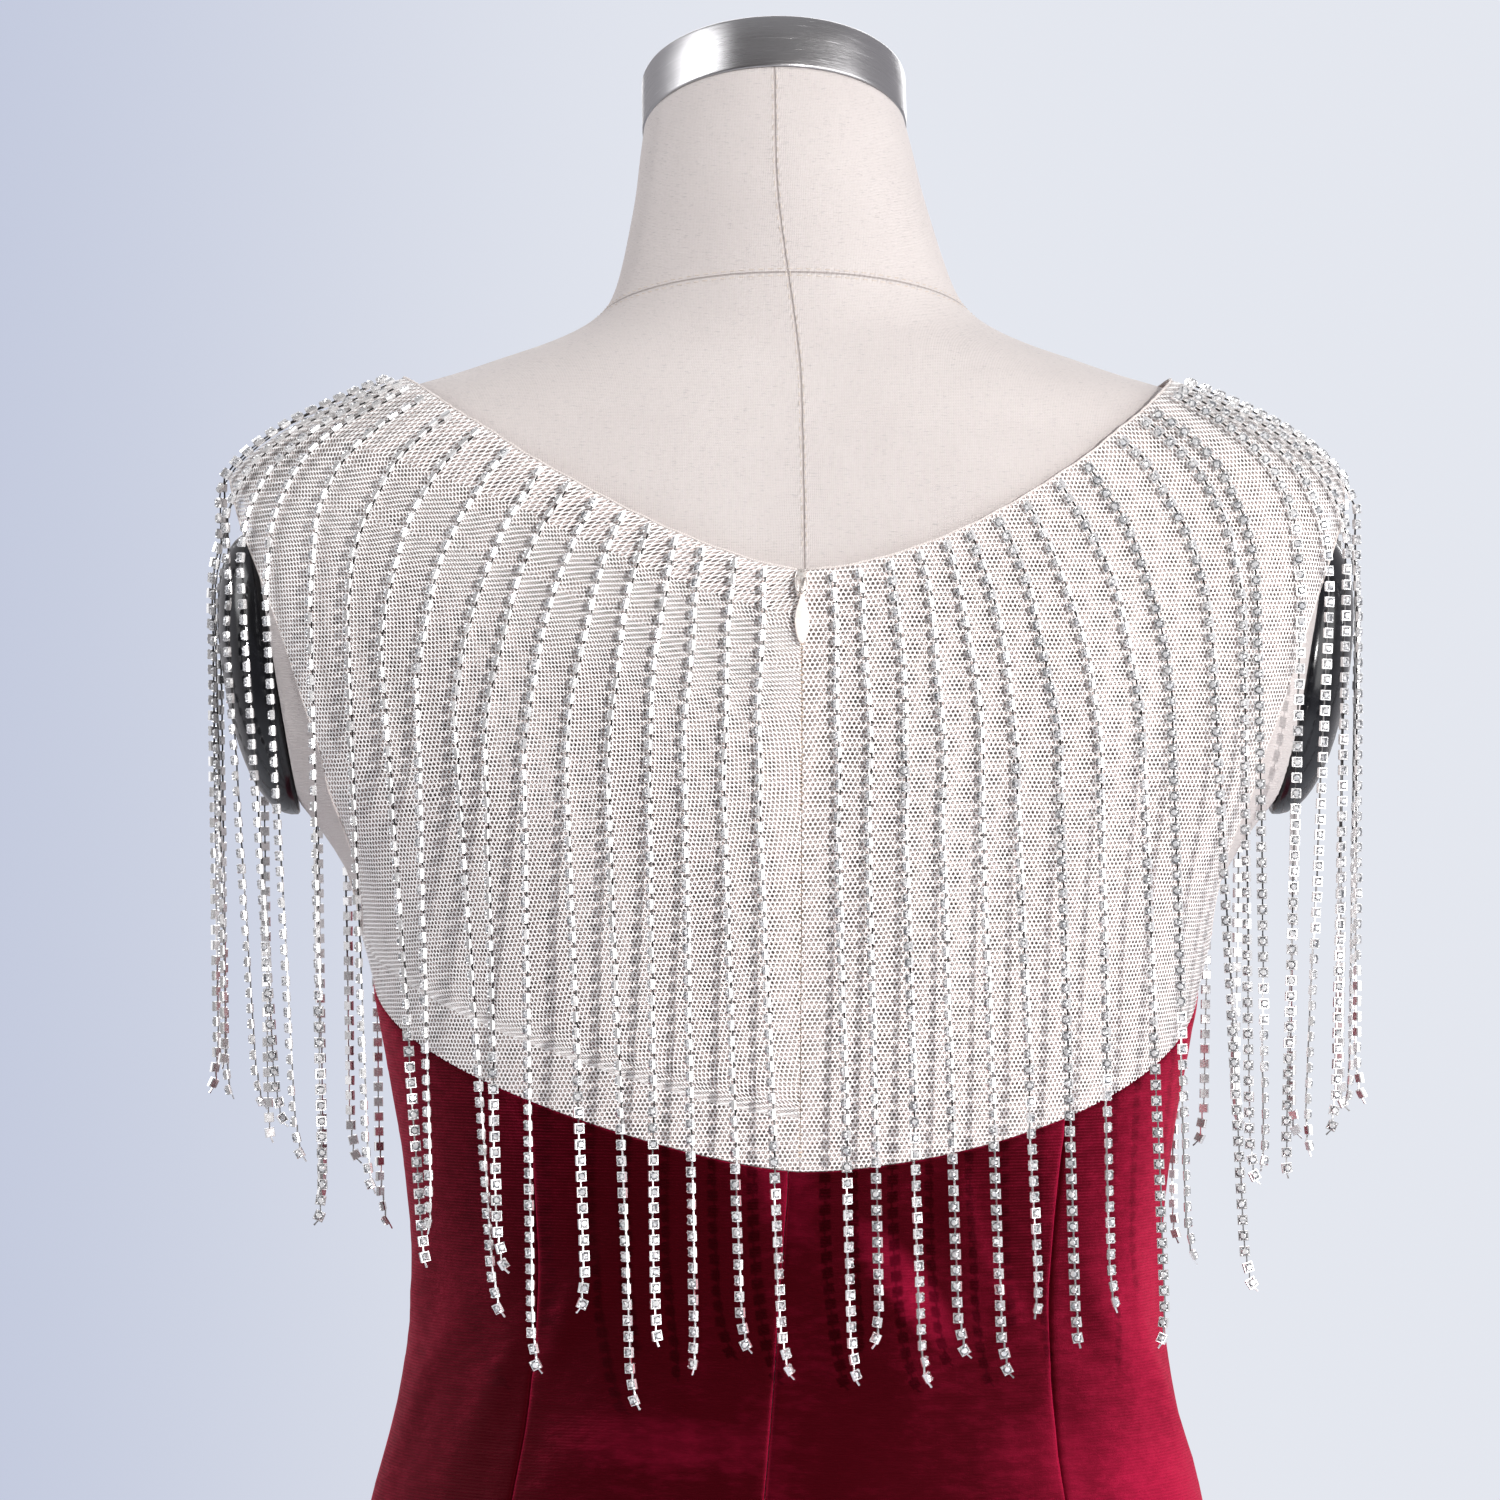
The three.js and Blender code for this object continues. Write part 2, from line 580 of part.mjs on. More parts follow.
function stripSolid(from, to) {
  const columns = Math.max(8, Math.round(Math.abs(to - from) / 6));
  const row = (lower) => Array.from({ length: columns + 1 }, (_, j) => {
    const angle = lerp(from, to, j / columns);
    return [angle, neckline(angle) - lower];
  });
  return toSolid(wallGeometry([row(STRIP.tall), row(0)], STRIP.inner, STRIP.outer));
}

function buildFringe() {
  const start = shifted(180, NECKLINE.back, STRIP.start) - 180;
  const end = 90 - STRIP.shoulder;
  const backLeft = [stripSolid(180 - end, 180 - start), ...backStrands(1)];
  const backRight = [stripSolid(180 + start, 180 + end), ...backStrands(-1)];
  const front = [stripSolid(-end, end), ...frontStrands(1), ...frontStrands(-1)];
  return [
    makeMesh('fringe_back_left', fromSolid(joined(backLeft)), chain),
    makeMesh('fringe_back_right', fromSolid(joined(backRight)), chain),
    makeMesh('fringe_front', fromSolid(joined(front)), chain),
  ];
}

// Zip
function tapeMesh(name, side) {
  const bottom = topEdge(180 - NET_STEP) + EDGE_GAP;
  const top = NECKLINE.back - 1;
  const rows = Array.from({ length: 9 }, (_, i) => {
    const height = lerp(bottom, top, i / 8);
    const edges = [SEAM_GAP / 2, TAPE.wide].map((distance) => shifted(180, height, side * distance));
    return edges.sort((a, b) => a - b).map((angle) => [angle, height]);
  });
  return makeMesh(name, wallGeometry(rows, TAPE.inner, TAPE.outer), tapeCloth);
}

function boxAt(width, depth, height, x, y, z) {
  const box = new THREE.BoxGeometry(width, depth, height);
  box.translate(x, y, z);
  return toSolid(box);
}

// The slider in its own frame: x across, y out from the net, z up along it
function sliderSolid() {
  const half = SLIDER.wide / 2;
  const tall = SLIDER.tall / 2;
  const outline = new THREE.Shape();
  outline.moveTo(-half * 0.7, -tall);
  outline.lineTo(half * 0.7, -tall);
  outline.quadraticCurveTo(half, -tall, half, -tall * 0.5);
  outline.lineTo(half, tall * 0.6);
  outline.quadraticCurveTo(half, tall, 0, tall);
  outline.quadraticCurveTo(-half, tall, -half, tall * 0.6);
  outline.lineTo(-half, -tall * 0.5);
  outline.quadraticCurveTo(-half, -tall, -half * 0.7, -tall);
  const body = new THREE.ExtrudeGeometry(outline, { depth: SLIDER.thick, bevelEnabled: false, curveSegments: 4 });
  body.rotateX(Math.PI / 2);
  body.translate(0, SLIDER.lift + SLIDER.thick, 0);
  const foot = SLIDER.lift + SLIDER.thick - 0.4;
  const ears = [-1, 1].map((side) => boxAt(
    EAR.outer - EAR.inner,
    EAR.top - foot,
    EAR.tall,
    (side * (EAR.outer + EAR.inner)) / 2,
    (EAR.top + foot) / 2,
    -BAR.below,
  ));
  const bar = new THREE.CylinderGeometry(BAR.radius, BAR.radius, EAR.inner + EAR.outer, 10);
  bar.rotateZ(Math.PI / 2);
  bar.translate(0, BAR.out, -BAR.below);
  return joined([toSolid(body), ...ears, toSolid(bar)]);
}

// The pull in its own frame: the bar's middle at the origin, the drop hanging down
function pullSolid() {
  const ring = new THREE.Shape();
  ring.absarc(0, 0, PULL.rim, 0, 2 * Math.PI);
  const hole = new THREE.Path();
  hole.absarc(0, 0, PULL.eye, 0, 2 * Math.PI, true);
  ring.holes.push(hole);
  const eye = new THREE.ExtrudeGeometry(ring, { depth: PULL.neck, bevelEnabled: false, curveSegments: 6 });
  eye.translate(0, 0, -PULL.neck / 2);
  eye.rotateY(Math.PI / 2);
  const narrow = PULL.neck / 2;
  const wide = PULL.wide / 2;
  const drop = new THREE.Shape();
  drop.moveTo(-narrow, -PULL.eye - 0.2);
  drop.lineTo(-narrow, -PULL.neckLength);
  drop.bezierCurveTo(-narrow, -0.5 * PULL.middle, -wide, -0.65 * PULL.middle, -wide, -PULL.middle);
  drop.bezierCurveTo(-wide, -1.4 * PULL.middle, -narrow, -PULL.long, 0, -PULL.long);
  drop.bezierCurveTo(narrow, -PULL.long, wide, -1.4 * PULL.middle, wide, -PULL.middle);
  drop.bezierCurveTo(wide, -0.65 * PULL.middle, narrow, -0.5 * PULL.middle, narrow, -PULL.neckLength);
  drop.lineTo(narrow, -PULL.eye - 0.2);
  const tab = new THREE.ExtrudeGeometry(drop, { depth: PULL.thick, bevelEnabled: false, curveSegments: 6 });
  tab.translate(0, 0, -PULL.thick / 2);
  tab.rotateX(Math.PI / 2);
  return toSolid(eye).add(toSolid(tab));
}

function buildZip() {
  const seat = skin(180, SLIDER.height, NET.gap + NET.wall);
  const normal = outward(180, SLIDER.height);
  const lean = Math.atan2(normal.z, normal.y);
  const slider = makeMesh('zip_slider', fromSolid(sliderSolid()), cream);
  slider.position.copy(seat);
  slider.rotation.x = lean;
  const pull = makeMesh('zip_pull', fromSolid(pullSolid()), cream);
  pull.position.set(0, BAR.out, -BAR.below).applyAxisAngle(new THREE.Vector3(1, 0, 0), lean).add(seat);
  return [tapeMesh('zip_tape_left', -1), tapeMesh('zip_tape_right', 1), slider, pull];
}

// Dress form
function figureRing(height) {
  const count = 360 / FORM_STEP;
  return Array.from({ length: count }, (_, j) => figurePoint(j * FORM_STEP, height));
}

// A block that takes away all that is outside the armhole's flat on one side
function armCutSolid(side) {
  const size = 400;
  const block = new THREE.BoxGeometry(size, size, size);
  block.translate(size / 2, 0, 0);
  block.rotateY(Math.atan(ARM_CUT.lean));
  block.translate(ARM_CUT.x, 0, ARM_CUT.height);
  if (side < 0) block.rotateZ(Math.PI);
  return toSolid(block);
}

function buildTorso() {
  const heights = LEVELS.map(([height]) => height).filter((height) => height > FORM_BOTTOM);
  const lowest = figureRing(FORM_BOTTOM).map((p) => p.multiply(new THREE.Vector3(FORM_TUCK, FORM_TUCK, 1)));
  const whole = toSolid(loftGeometry([lowest, ...heights.map(figureRing)]));
  const torso = whole.subtract(armCutSolid(1)).subtract(armCutSolid(-1));
  return makeMesh('form_torso', fromSolid(torso), linen);
}

function buildNeckCap() {
  const slope = levelAt(NECK_TOP).rise;
  const axis = new THREE.Vector3(0, -slope, 1).normalize();
  const centre = new THREE.Vector3(leanAt(NECK_TOP), levelAt(NECK_TOP).middle, NECK_TOP);
  const ring = (rise, grow) => figureRing(NECK_TOP).map((point) => {
    const arm = point.clone().sub(centre);
    return point.clone().addScaledVector(arm.normalize(), grow).addScaledVector(axis, rise);
  });
  const rings = [
    ring(SEAM_GAP, NECK_CAP.lip),
    ring(NECK_CAP.height - NECK_CAP.bevel, NECK_CAP.lip),
    ring(NECK_CAP.height, NECK_CAP.lip - NECK_CAP.bevel),
  ];
  return makeMesh('neck_cap', loftGeometry(rings), steel);
}

function buildArmPlate(name, side) {
  const steps = 6;
  const profile = [new THREE.Vector2(0, 0), new THREE.Vector2(1, 0)];
  for (let i = 1; i < steps; i += 1) {
    const across = Math.cos((i * Math.PI) / (2 * steps));
    profile.push(new THREE.Vector2(across, (1 - across ** ARM_PLATE.bluntness) ** (1 / ARM_PLATE.bluntness)));
  }
  profile.push(new THREE.Vector2(0, 1));
  const dome = new THREE.LatheGeometry(profile, 20);
  dome.scale(ARM_PLATE.deep / 2, ARM_PLATE.dome, ARM_PLATE.tall / 2);
  dome.rotateZ(-Math.PI / 2);
  dome.rotateY(Math.atan(ARM_CUT.lean));
  const plate = makeMesh(name, mergeVertices(dome, 1e-4), blackGloss);
  const out = new THREE.Vector3(1, 0, -ARM_CUT.lean).normalize();
  plate.position.set(armCutAt(ARM_PLATE.height), 0, ARM_PLATE.height).addScaledVector(out, SEAM_GAP);
  if (side > 0) return plate;
  plate.position.x *= -1;
  plate.rotation.z = Math.PI;
  return plate;
}

function buildStand() {
  const poleBottom = BASE.bossTop + SEAM_GAP;
  const poleTop = FORM_BOTTOM - SEAM_GAP;
  const pole = new THREE.CylinderGeometry(POLE_RADIUS, POLE_RADIUS, poleTop - poleBottom, 18);
  pole.rotateX(Math.PI / 2);
  pole.translate(0, 0, (poleTop + poleBottom) / 2);
  const { radius, thick, bevel, bossRadius, bossTop } = BASE;
  const profile = [
    [0, 0], [radius, 0], [radius, thick - bevel], [radius - bevel, thick], [bossRadius + 4, thick],
    [bossRadius, thick + 4], [bossRadius - 8, bossTop], [0, bossTop],
  ].map(([r, z]) => new THREE.Vector2(r, z));
  const base = new THREE.LatheGeometry(profile, 32);
  base.rotateX(Math.PI / 2);
  return [makeMesh('stand_pole', pole, steel), makeMesh('stand_base', base, steel)];
}

const gown = new THREE.Group();
gown.add(...buildVelvet(), ...buildYoke(), ...buildFringe(), ...buildZip());
gown.add(buildTorso(), buildNeckCap(), buildArmPlate('arm_plate_left', 1), buildArmPlate('arm_plate_right', -1));
gown.add(...buildStand());

export default gown;
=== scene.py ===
"""Looks for a mermaid evening gown on a limbless dress form.

The figure is worked out in millimetres, as angles round it (0 front, 90 the wearer's left, 180 back) and
heights; a mesh is made in metres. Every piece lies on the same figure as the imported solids.
"""
import math

import bmesh
import bpy
import numpy as np
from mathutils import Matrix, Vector


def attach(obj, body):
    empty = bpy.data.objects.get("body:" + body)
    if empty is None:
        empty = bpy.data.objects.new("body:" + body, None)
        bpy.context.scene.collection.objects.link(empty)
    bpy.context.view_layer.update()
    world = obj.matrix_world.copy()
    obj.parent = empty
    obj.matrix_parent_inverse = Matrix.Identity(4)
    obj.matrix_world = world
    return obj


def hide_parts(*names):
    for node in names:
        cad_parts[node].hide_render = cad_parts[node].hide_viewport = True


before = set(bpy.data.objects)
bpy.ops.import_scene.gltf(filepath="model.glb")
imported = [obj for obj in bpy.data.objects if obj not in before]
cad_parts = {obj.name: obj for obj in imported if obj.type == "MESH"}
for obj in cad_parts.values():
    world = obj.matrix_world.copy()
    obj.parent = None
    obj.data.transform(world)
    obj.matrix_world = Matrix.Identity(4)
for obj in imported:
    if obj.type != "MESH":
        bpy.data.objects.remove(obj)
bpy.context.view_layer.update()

MM = 0.001
FULL_TURN = 2 * math.pi
GOWN, TAB = "gown", "zip_tab"

# ---------------------------------------------------------------- the figure

SEAM_GAP, EDGE_GAP = 0.3, 0.5
HEM, FLUTES = 12, 12
# height, half width, depth to front and depth to back; then, up to where they are as in PLAIN, the middle, the
# squareness, the rise to the back and the flute depth
PLAIN = (0, 2.2, 0, 0)
LEVELS = np.array([(*row, *PLAIN[len(row) - 4:]) for row in [
    (12, 380, 325, 405, 0, 2.0, 0, 24), (100, 332, 283, 345, 0, 2.0, 0, 21),
    (200, 273, 232, 277, 0, 2.0, 0, 16), (300, 214, 182, 210, 0, 2.0, 0, 9),
    (400, 165, 140, 156, 0, 2.05, 0, 3), (480, 138, 115, 125, 0, 2.1, 0, 0.5), (560, 129, 105, 112, 0, 2.1),
    (660, 138, 106, 114, 0, 2.1), (770, 154, 110, 121, 0, 2.15), (870, 163, 110, 125), (940, 159, 105, 119),
    (1003, 147, 98, 108), (1032, 139, 92, 101), (1061, 133.8, 88, 94), (1085, 132.2, 86, 89),
    (1111, 133.4, 87, 87.5), (1140, 137.2, 91, 89), (1169, 142.5, 96, 92), (1196, 146.8, 100, 95),
    (1214, 151, 101, 97), (1229, 157.5, 101, 98.5), (1240, 164, 100, 99.5), (1247, 169, 99, 100),
    (1254, 174.5, 98, 100.5), (1262, 180.5, 96.5, 101), (1275, 188, 93, 101.5), (1290, 194, 89.5, 101.5),
    (1310, 199.5, 84.5, 100.5), (1330, 203, 79, 97.5), (1350, 204, 72, 92.5, 0, 2.15),
    (1362, 201, 67, 89, 0, 2.1), (1372, 195, 62, 85, 0, 2.1), (1380, 186, 59, 81.5, 1, 2.05),
    (1387, 175, 57, 78, 1, 2.0), (1395, 158, 54, 73.5, 2, 2.0), (1403, 138, 52, 69, 2, 2.0),
    (1408.6, 119, 51, 65.5, 2, 2.0), (1414, 103, 50.5, 62, 2, 2.0), (1419.4, 87, 50, 59, 2, 2.0),
    (1425, 74.5, 50, 56.5, 2, 2.0), (1431, 66, 50, 54.5, 2, 2.0, 0.02), (1438, 61.5, 50, 53, 1, 2.0, 0.06),
    (1448, 58, 49.5, 51.5, 0, 2.0, 0.12), (1460, 54.8, 48.5, 50, -2, 2.0, 0.2),
    (1473, 51.7, 47.5, 49, -5, 2.0, 0.29), (1486, 49.4, 47, 48, -8, 2.0, 0.36),
    (1497, 47.3, 46.5, 47, -11, 2.0, 0.4),
]])
NECK_TOP = 1497
NECK_LEAN = {"from": 1425, "slope": 0.055}
BUST = {"angle": 29, "height": 1204, "spread": 22, "rise": 52, "depth": 13}
FORM_BOTTOM, FORM_TUCK = 800, 0.95
ARM_CUT = {"x": 193, "height": 1363.6, "lean": 0.164, "bottom": 1254}
ARM_PLATE = {"height": 1301.5, "tall": 103, "deep": 72, "dome": 19.3, "bluntness": 2.3}
TOP_EDGE = {"back": 1127.5, "side": 1191, "front": 1248, "dip": 9, "dip_spread": 15, "back_power": 1.37, "tilt": 3.6}
NECKLINE = {"back": 1335.2, "front": 1352, "shoulder": 1403.6, "half": 136, "left": 1.42, "right": 1.75,
            "front_power": 1.9}
PRINCESS = {"back_left": (40.5, 42), "back_right": (40.5, 34), "front": (36, 36)}
BACK_SEAM = {"top": 1.2, "hip": 4.4}
# from here up the velvet's rows follow its top edge
BODICE = 1058
# the form's seams: the middle one's lean across between two heights, and the one round the foot of the neck
MIDDLE_SEAM = (1400, 1485, -1.4, 6.2)
FOOT_SEAM = {"height": 1429.5, "slope": 0.23}
ARMHOLE = {"reach": 29.8, "middle": 0.465, "half": 0.375, "bluntness": 2.5, "taper": 1.45}


def mix(a, b, t):
    return a + (b - a) * t


def ease(low, high, value):
    t = np.clip((value - low) / (high - low), 0, 1)
    return t * t * (3 - 2 * t)


def levels_at(height):
    """The figure's sizes at these heights, on a smooth curve through the rows."""
    rows = LEVELS[:, 0]
    i = np.clip(np.searchsorted(rows, height, side="left") - 1, 0, len(rows) - 2)
    low, high = LEVELS[i], LEVELS[i + 1]
    before, after = LEVELS[np.maximum(i - 1, 0)], LEVELS[np.minimum(i + 2, len(rows) - 1)]
    span = high[..., :1] - low[..., :1]
    t = np.clip((np.asarray(height, float)[..., None] - low[..., :1]) / span, 0, 1)
    slope_low = (high - before) / (high[..., :1] - before[..., :1])
    slope_high = (after - low) / (after[..., :1] - low[..., :1])
    made = ((2 * t**3 - 3 * t**2 + 1) * low + (t**3 - 2 * t**2 + t) * span * slope_low
            + (3 * t**2 - 2 * t**3) * high + (t**3 - t**2) * span * slope_high)
    return np.moveaxis(made[..., 1:], -1, 0)


def from_front(angle):
    return np.abs(np.mod(angle + 540, 360) - 180)


def bust_at(angle, height):
    across = (from_front(angle) - BUST["angle"]) / BUST["spread"]
    along = (height - BUST["height"]) / BUST["rise"]
    return BUST["depth"] * np.exp(-(across**2) - along**2)


def flute_at(angle):
    turn = np.radians(angle)
    return np.cos(FLUTES * turn + 0.7 * np.sin(2 * turn + 0.6)) * (1 + 0.25 * np.sin(3 * turn + 1))


def lean_at(height):
    return NECK_LEAN["slope"] * np.maximum(0, height - NECK_LEAN["from"])


def figure(angle, height):
    angle, height = np.broadcast_arrays(np.asarray(angle, float), np.asarray(height, float))
    wide, front, back, middle, square, rise, flute = levels_at(height)
    turn = np.radians(angle)
    sine, to_back = np.sin(turn), -np.cos(turn)
    power = 2 / square
    x = wide * np.sign(sine) * np.abs(sine) ** power
    y = np.where(to_back > 0, back, front) * np.sign(to_back) * np.abs(to_back) ** power
    swell = 1 + flute * flute_at(angle) / np.hypot(x, y)
    aside = lean_at(height) + x * swell
    return np.stack([aside, middle + y * swell - bust_at(angle, height), height + rise * y], -1)


def unit(vectors):
    return vectors / np.linalg.norm(vectors, axis=-1, keepdims=True)


def outward(angle, height):
    along = figure(angle + 0.5, height) - figure(angle - 0.5, height)
    up = figure(angle, height + 1) - figure(angle, height - 1)
    return unit(np.cross(along, up))


def skin(angle, height, out):
    """Points of the figure moved out by a distance, square to its surface."""
    angle, height, out = np.broadcast_arrays(np.asarray(angle, float), np.asarray(height, float), out)
    return figure(angle, height) + outward(angle, height) * np.asarray(out, float)[..., None]


def per_degree(angle, height):
    return np.linalg.norm(figure(angle + 0.5, height) - figure(angle - 0.5, height), axis=-1)


def shifted(angle, height, distance):
    return angle + distance / per_degree(angle, height)


def top_edge(angle):
    """The height of the velvet's top edge."""
    turn = from_front(angle)
    behind = mix(TOP_EDGE["back"], TOP_EDGE["side"], (np.maximum(180 - turn, 0) / 90) ** TOP_EDGE["back_power"])
    behind = behind + TOP_EDGE["tilt"] * np.sin(np.radians(2 * (180 - angle)))
    rise = np.maximum(np.cos(np.radians(turn)), 0) ** 1.3
    dip = TOP_EDGE["dip"] * np.exp(-((turn / TOP_EDGE["dip_spread"]) ** 2))
    before = mix(TOP_EDGE["side"], TOP_EDGE["front"], rise) - dip
    return np.where(turn > 90, behind, before)


def neckline(angle):
    """The neckline's height: where the figure meets the neckline as seen from the back or the front."""
    angle = np.asarray(angle, float)
    behind = from_front(angle) > 90
    bottom = np.where(behind, NECKLINE["back"], NECKLINE["front"])
    back_power = np.where(np.sin(np.radians(angle)) < 0, NECKLINE["right"], NECKLINE["left"])
    power = np.where(behind, back_power, NECKLINE["front_power"])
    low, high = bottom - 1.0, np.full(angle.shape, float(NECK_LEAN["from"]))
    for _ in range(36):
        height = (low + high) / 2
        share = np.abs(figure(angle, height)[..., 0]) / NECKLINE["half"]
        below = height < mix(bottom, NECKLINE["shoulder"], share**power)
        low, high = np.where(below, height, low), np.where(below, high, height)
    return low


# ---------------------------------------------------------------- nodes

class Link:
    """A socket that takes part in arithmetic: each operator adds a Math node."""

    def __init__(self, nodes, socket):
        self.nodes, self.socket = nodes, socket

    def math(self, operation, *values):
        return self.nodes.make("ShaderNodeMath", {"operation": operation}, values or (self,))

    def __add__(self, other): return self.math("ADD", self, other)
    def __radd__(self, other): return self.math("ADD", other, self)
    def __sub__(self, other): return self.math("SUBTRACT", self, other)
    def __rsub__(self, other): return self.math("SUBTRACT", other, self)
    def __mul__(self, other): return self.math("MULTIPLY", self, other)
    def __rmul__(self, other): return self.math("MULTIPLY", other, self)
    def __truediv__(self, other): return self.math("DIVIDE", self, other)
    def __lt__(self, other): return self.math("LESS_THAN", self, other)
    def __gt__(self, other): return self.math("GREATER_THAN", self, other)
    def __abs__(self): return self.math("ABSOLUTE")
    def part(self): return self.math("FRACT")
    def wave(self, pitch): return (self * (FULL_TURN / pitch)).math("SINE")
    def stripes(self, pitch): return self.wave(pitch) * 0.5 + 0.5
    def most(self, other): return self.math("MAXIMUM", self, other)
    def least(self, other): return self.math("MINIMUM", self, other)

    def ramp(self, low, high, to_low=0.0, to_high=1.0):
        """Runs smoothly from one value to another as this one goes from low to high."""
        return self.nodes.make("ShaderNodeMapRange", {"interpolation_type": "SMOOTHSTEP"},
                               (self, low, high, to_low, to_high))


def opaque(value):
    """A colour with its fourth number, or anything else as it is."""
    return (*value, 1) if isinstance(value, tuple) and len(value) == 3 else value


class Nodes:
    """The nodes of a material, a world or a geometry tree."""

    def __init__(self, tree):
        self.tree = tree

    def make(self, kind, settings=None, values=(), out=0):
        node = self.tree.nodes.new(kind)
        for name, value in (settings or {}).items():
            setattr(node, name, value)
        for key, value in (values.items() if isinstance(values, dict) else enumerate(values)):
            self.join(value, node.inputs[key])
        return Link(self, node.outputs[out])

    def join(self, value, socket):
        if isinstance(value, Link):
            self.tree.links.new(value.socket, socket)
        elif value is not None:
            socket.default_value = value

    def mixed(self, share, a, b):
        return self.make("ShaderNodeMix", {"data_type": "RGBA"}, {0: share, 6: opaque(a), 7: opaque(b)}, 2)

    def vector(self, x, y, z=0.0):
        return self.make("ShaderNodeCombineXYZ", None, (x, y, z))

    def parts(self, vector):
        first = self.make("ShaderNodeSeparateXYZ", None, (vector,))
        return [Link(self, socket) for socket in first.socket.node.outputs]

    def noise(self, vector, scale, detail=2.0, rough=0.5):
        values = {"Vector": vector, "Scale": scale, "Detail": detail, "Roughness": rough}
        return self.make("ShaderNodeTexNoise", None, values)

    def bump(self, height, distance, strength):
        return self.make("ShaderNodeBump", None, {"Height": height, "Distance": distance, "Strength": strength})


class Finish(Nodes):
    """A material and its nodes."""

    def __init__(self, name):
        self.material = bpy.data.materials.new(name)
        self.material.use_nodes = True
        super().__init__(self.material.node_tree)
        self.tree.nodes.clear()

    def cloth_place(self):
        """Across and along the cloth, in millimetres, from the piece's own map."""
        x, y, _ = self.parts(self.make("ShaderNodeUVMap", {"uv_map": "cloth"}))
        return x * 1000, y * 1000

    def place(self):
        """The piece's own x, y and z, in millimetres."""
        return [p * 1000 for p in self.parts(self.make("ShaderNodeTexCoord", None, (), "Object"))]

    def spot(self):
        """The piece's own place in millimetres, as one vector."""
        return self.vector(*self.place())

    def surface(self, **values):
        named = {name.replace("_", " "): opaque(value) for name, value in values.items()}
        shader = self.make("ShaderNodeBsdfPrincipled", None, named)
        self.join(shader, self.tree.nodes.new("ShaderNodeOutputMaterial").inputs[0])
        return self.material


# ---------------------------------------------------------------- finishes

# patches where the velvet's base colour is painted lighter (painted sheen) or darker (painted shade)
PAINTED_SHEEN_PATCHES = [(-36, 1089, 52, 34, 10, 0.34), (48, 1034, 4, 46, 14, 0.12), (-142, 1008, 25, 44, 24, 0.26),
             (-100, 1022, 18, 44, 24, 0.16), (62, 1092, -80, 70, 34, -0.12), (8, 1130, 74, 40, 14, 0.12),
             (158, 1060, 85, 240, 80, -0.62)]


def velvet_finish():
    """Burgundy velvet with painted sheen: its base colour is dark where the pile is seen end on, and painted a
    lighter red where it lies over and is seen edge on.
    """
    f = Finish("burgundy velvet")
    x, y = f.cloth_place()
    fibres = f.noise(f.vector(x, y), 2.4, 3, 0.7)
    rows = (y * (FULL_TURN / 1.1) + fibres * 2.4).stripes(FULL_TURN)
    swept = f.noise(f.vector(x * 0.022, y * 0.010), 1.0, 2, 0.5)
    crushed = f.noise(f.vector(x * 0.11 + swept * 2, y * 0.26), 1.0, 4, 0.65)
    nap = swept.ramp(0.38, 0.68) * 0.55 + crushed.ramp(0.36, 0.70) * 0.45
    height = fibres * 0.7 + rows * 0.4 + nap * 0.9
    pile = f.bump(height, 0.00045, 0.6)
    aside = f.make("ShaderNodeLayerWeight", None, {"Blend": 0.5, "Normal": pile}, "Facing")
    px, py, pz = f.place()
    # patches of painted sheen, and of painted shade where the strength is below nothing: middle x and z, the way it
    # runs, half length, half width and strength
    painted_patches = 0.0
    for mx, mz, degrees, along, across, much in PAINTED_SHEEN_PATCHES:
        c, s = math.cos(math.radians(degrees)), math.sin(math.radians(degrees))
        u, v = ((px - mx) * c + (pz - mz) * s) / along, ((pz - mz) * c - (px - mx) * s + (crushed - 0.5) * 5) / across
        painted_patches = (u * u + v * v).ramp(-0.3, 1, much * 1.2, 0) + painted_patches
    painted_patches = painted_patches * (py > 0)
    # painted sheen: the more edge on the surface is seen, the lighter its base colour is painted, with the pile's own
    # tone on top
    sheen = aside.ramp(0.05, 0.8) * (nap * 0.45 + fibres * 0.3 + rows * 0.2 + 0.5)
    sheen = sheen + (nap - 0.42) * 0.13 + painted_patches * (nap * 0.4 + fibres * 0.9 + 0.3)
    colour = f.mixed(sheen, (0.034, 0.0006, 0.0021), (0.50, 0.012, 0.060))
    return f.surface(
        Base_Color=colour, Metallic=0.3, Roughness=nap.ramp(0, 1, 0.56, 0.44), Specular_IOR_Level=0.12,
        Specular_Tint=(1.0, 0.10, 0.2), Sheen_Weight=0.18, Sheen_Roughness=0.35, Sheen_Tint=(0.8, 0.03, 0.10),
        Normal=pile)


def net_finish(name, turn, cell, thread, colour):
    """Six-sided net: an open mesh of threads."""
    f = Finish(name)
    x, y = f.cloth_place()
    c, s = math.cos(math.radians(turn)), math.sin(math.radians(turn))
    wobble = f.noise(f.vector(x * 0.02, y * 0.02), 1.0, 1) * 2.2
    across = (x * c + y * s + wobble) / cell
    along = (y * c - x * s + wobble) / (cell * math.sqrt(3))

    def from_middle(shift):
        a = abs((across + shift).part() - 0.5)
        b = abs((along + shift).part() - 0.5) * math.sqrt(3)
        return a.most(a * 0.5 + b * (math.sqrt(3) / 2))

    away = from_middle(0.0).least(from_middle(0.5))
    yarn = away.ramp(0.5 - thread / cell * 0.62, 0.5 - thread / cell * 0.38)
    return f.surface(
        Base_Color=f.mixed(yarn, (0.48, 0.39, 0.37), colour), Roughness=0.62, Alpha=yarn, Sheen_Weight=0.25,
        Sheen_Roughness=0.5, Sheen_Tint=(1.0, 0.97, 0.95), Normal=f.bump(yarn, 0.0002, 0.35))


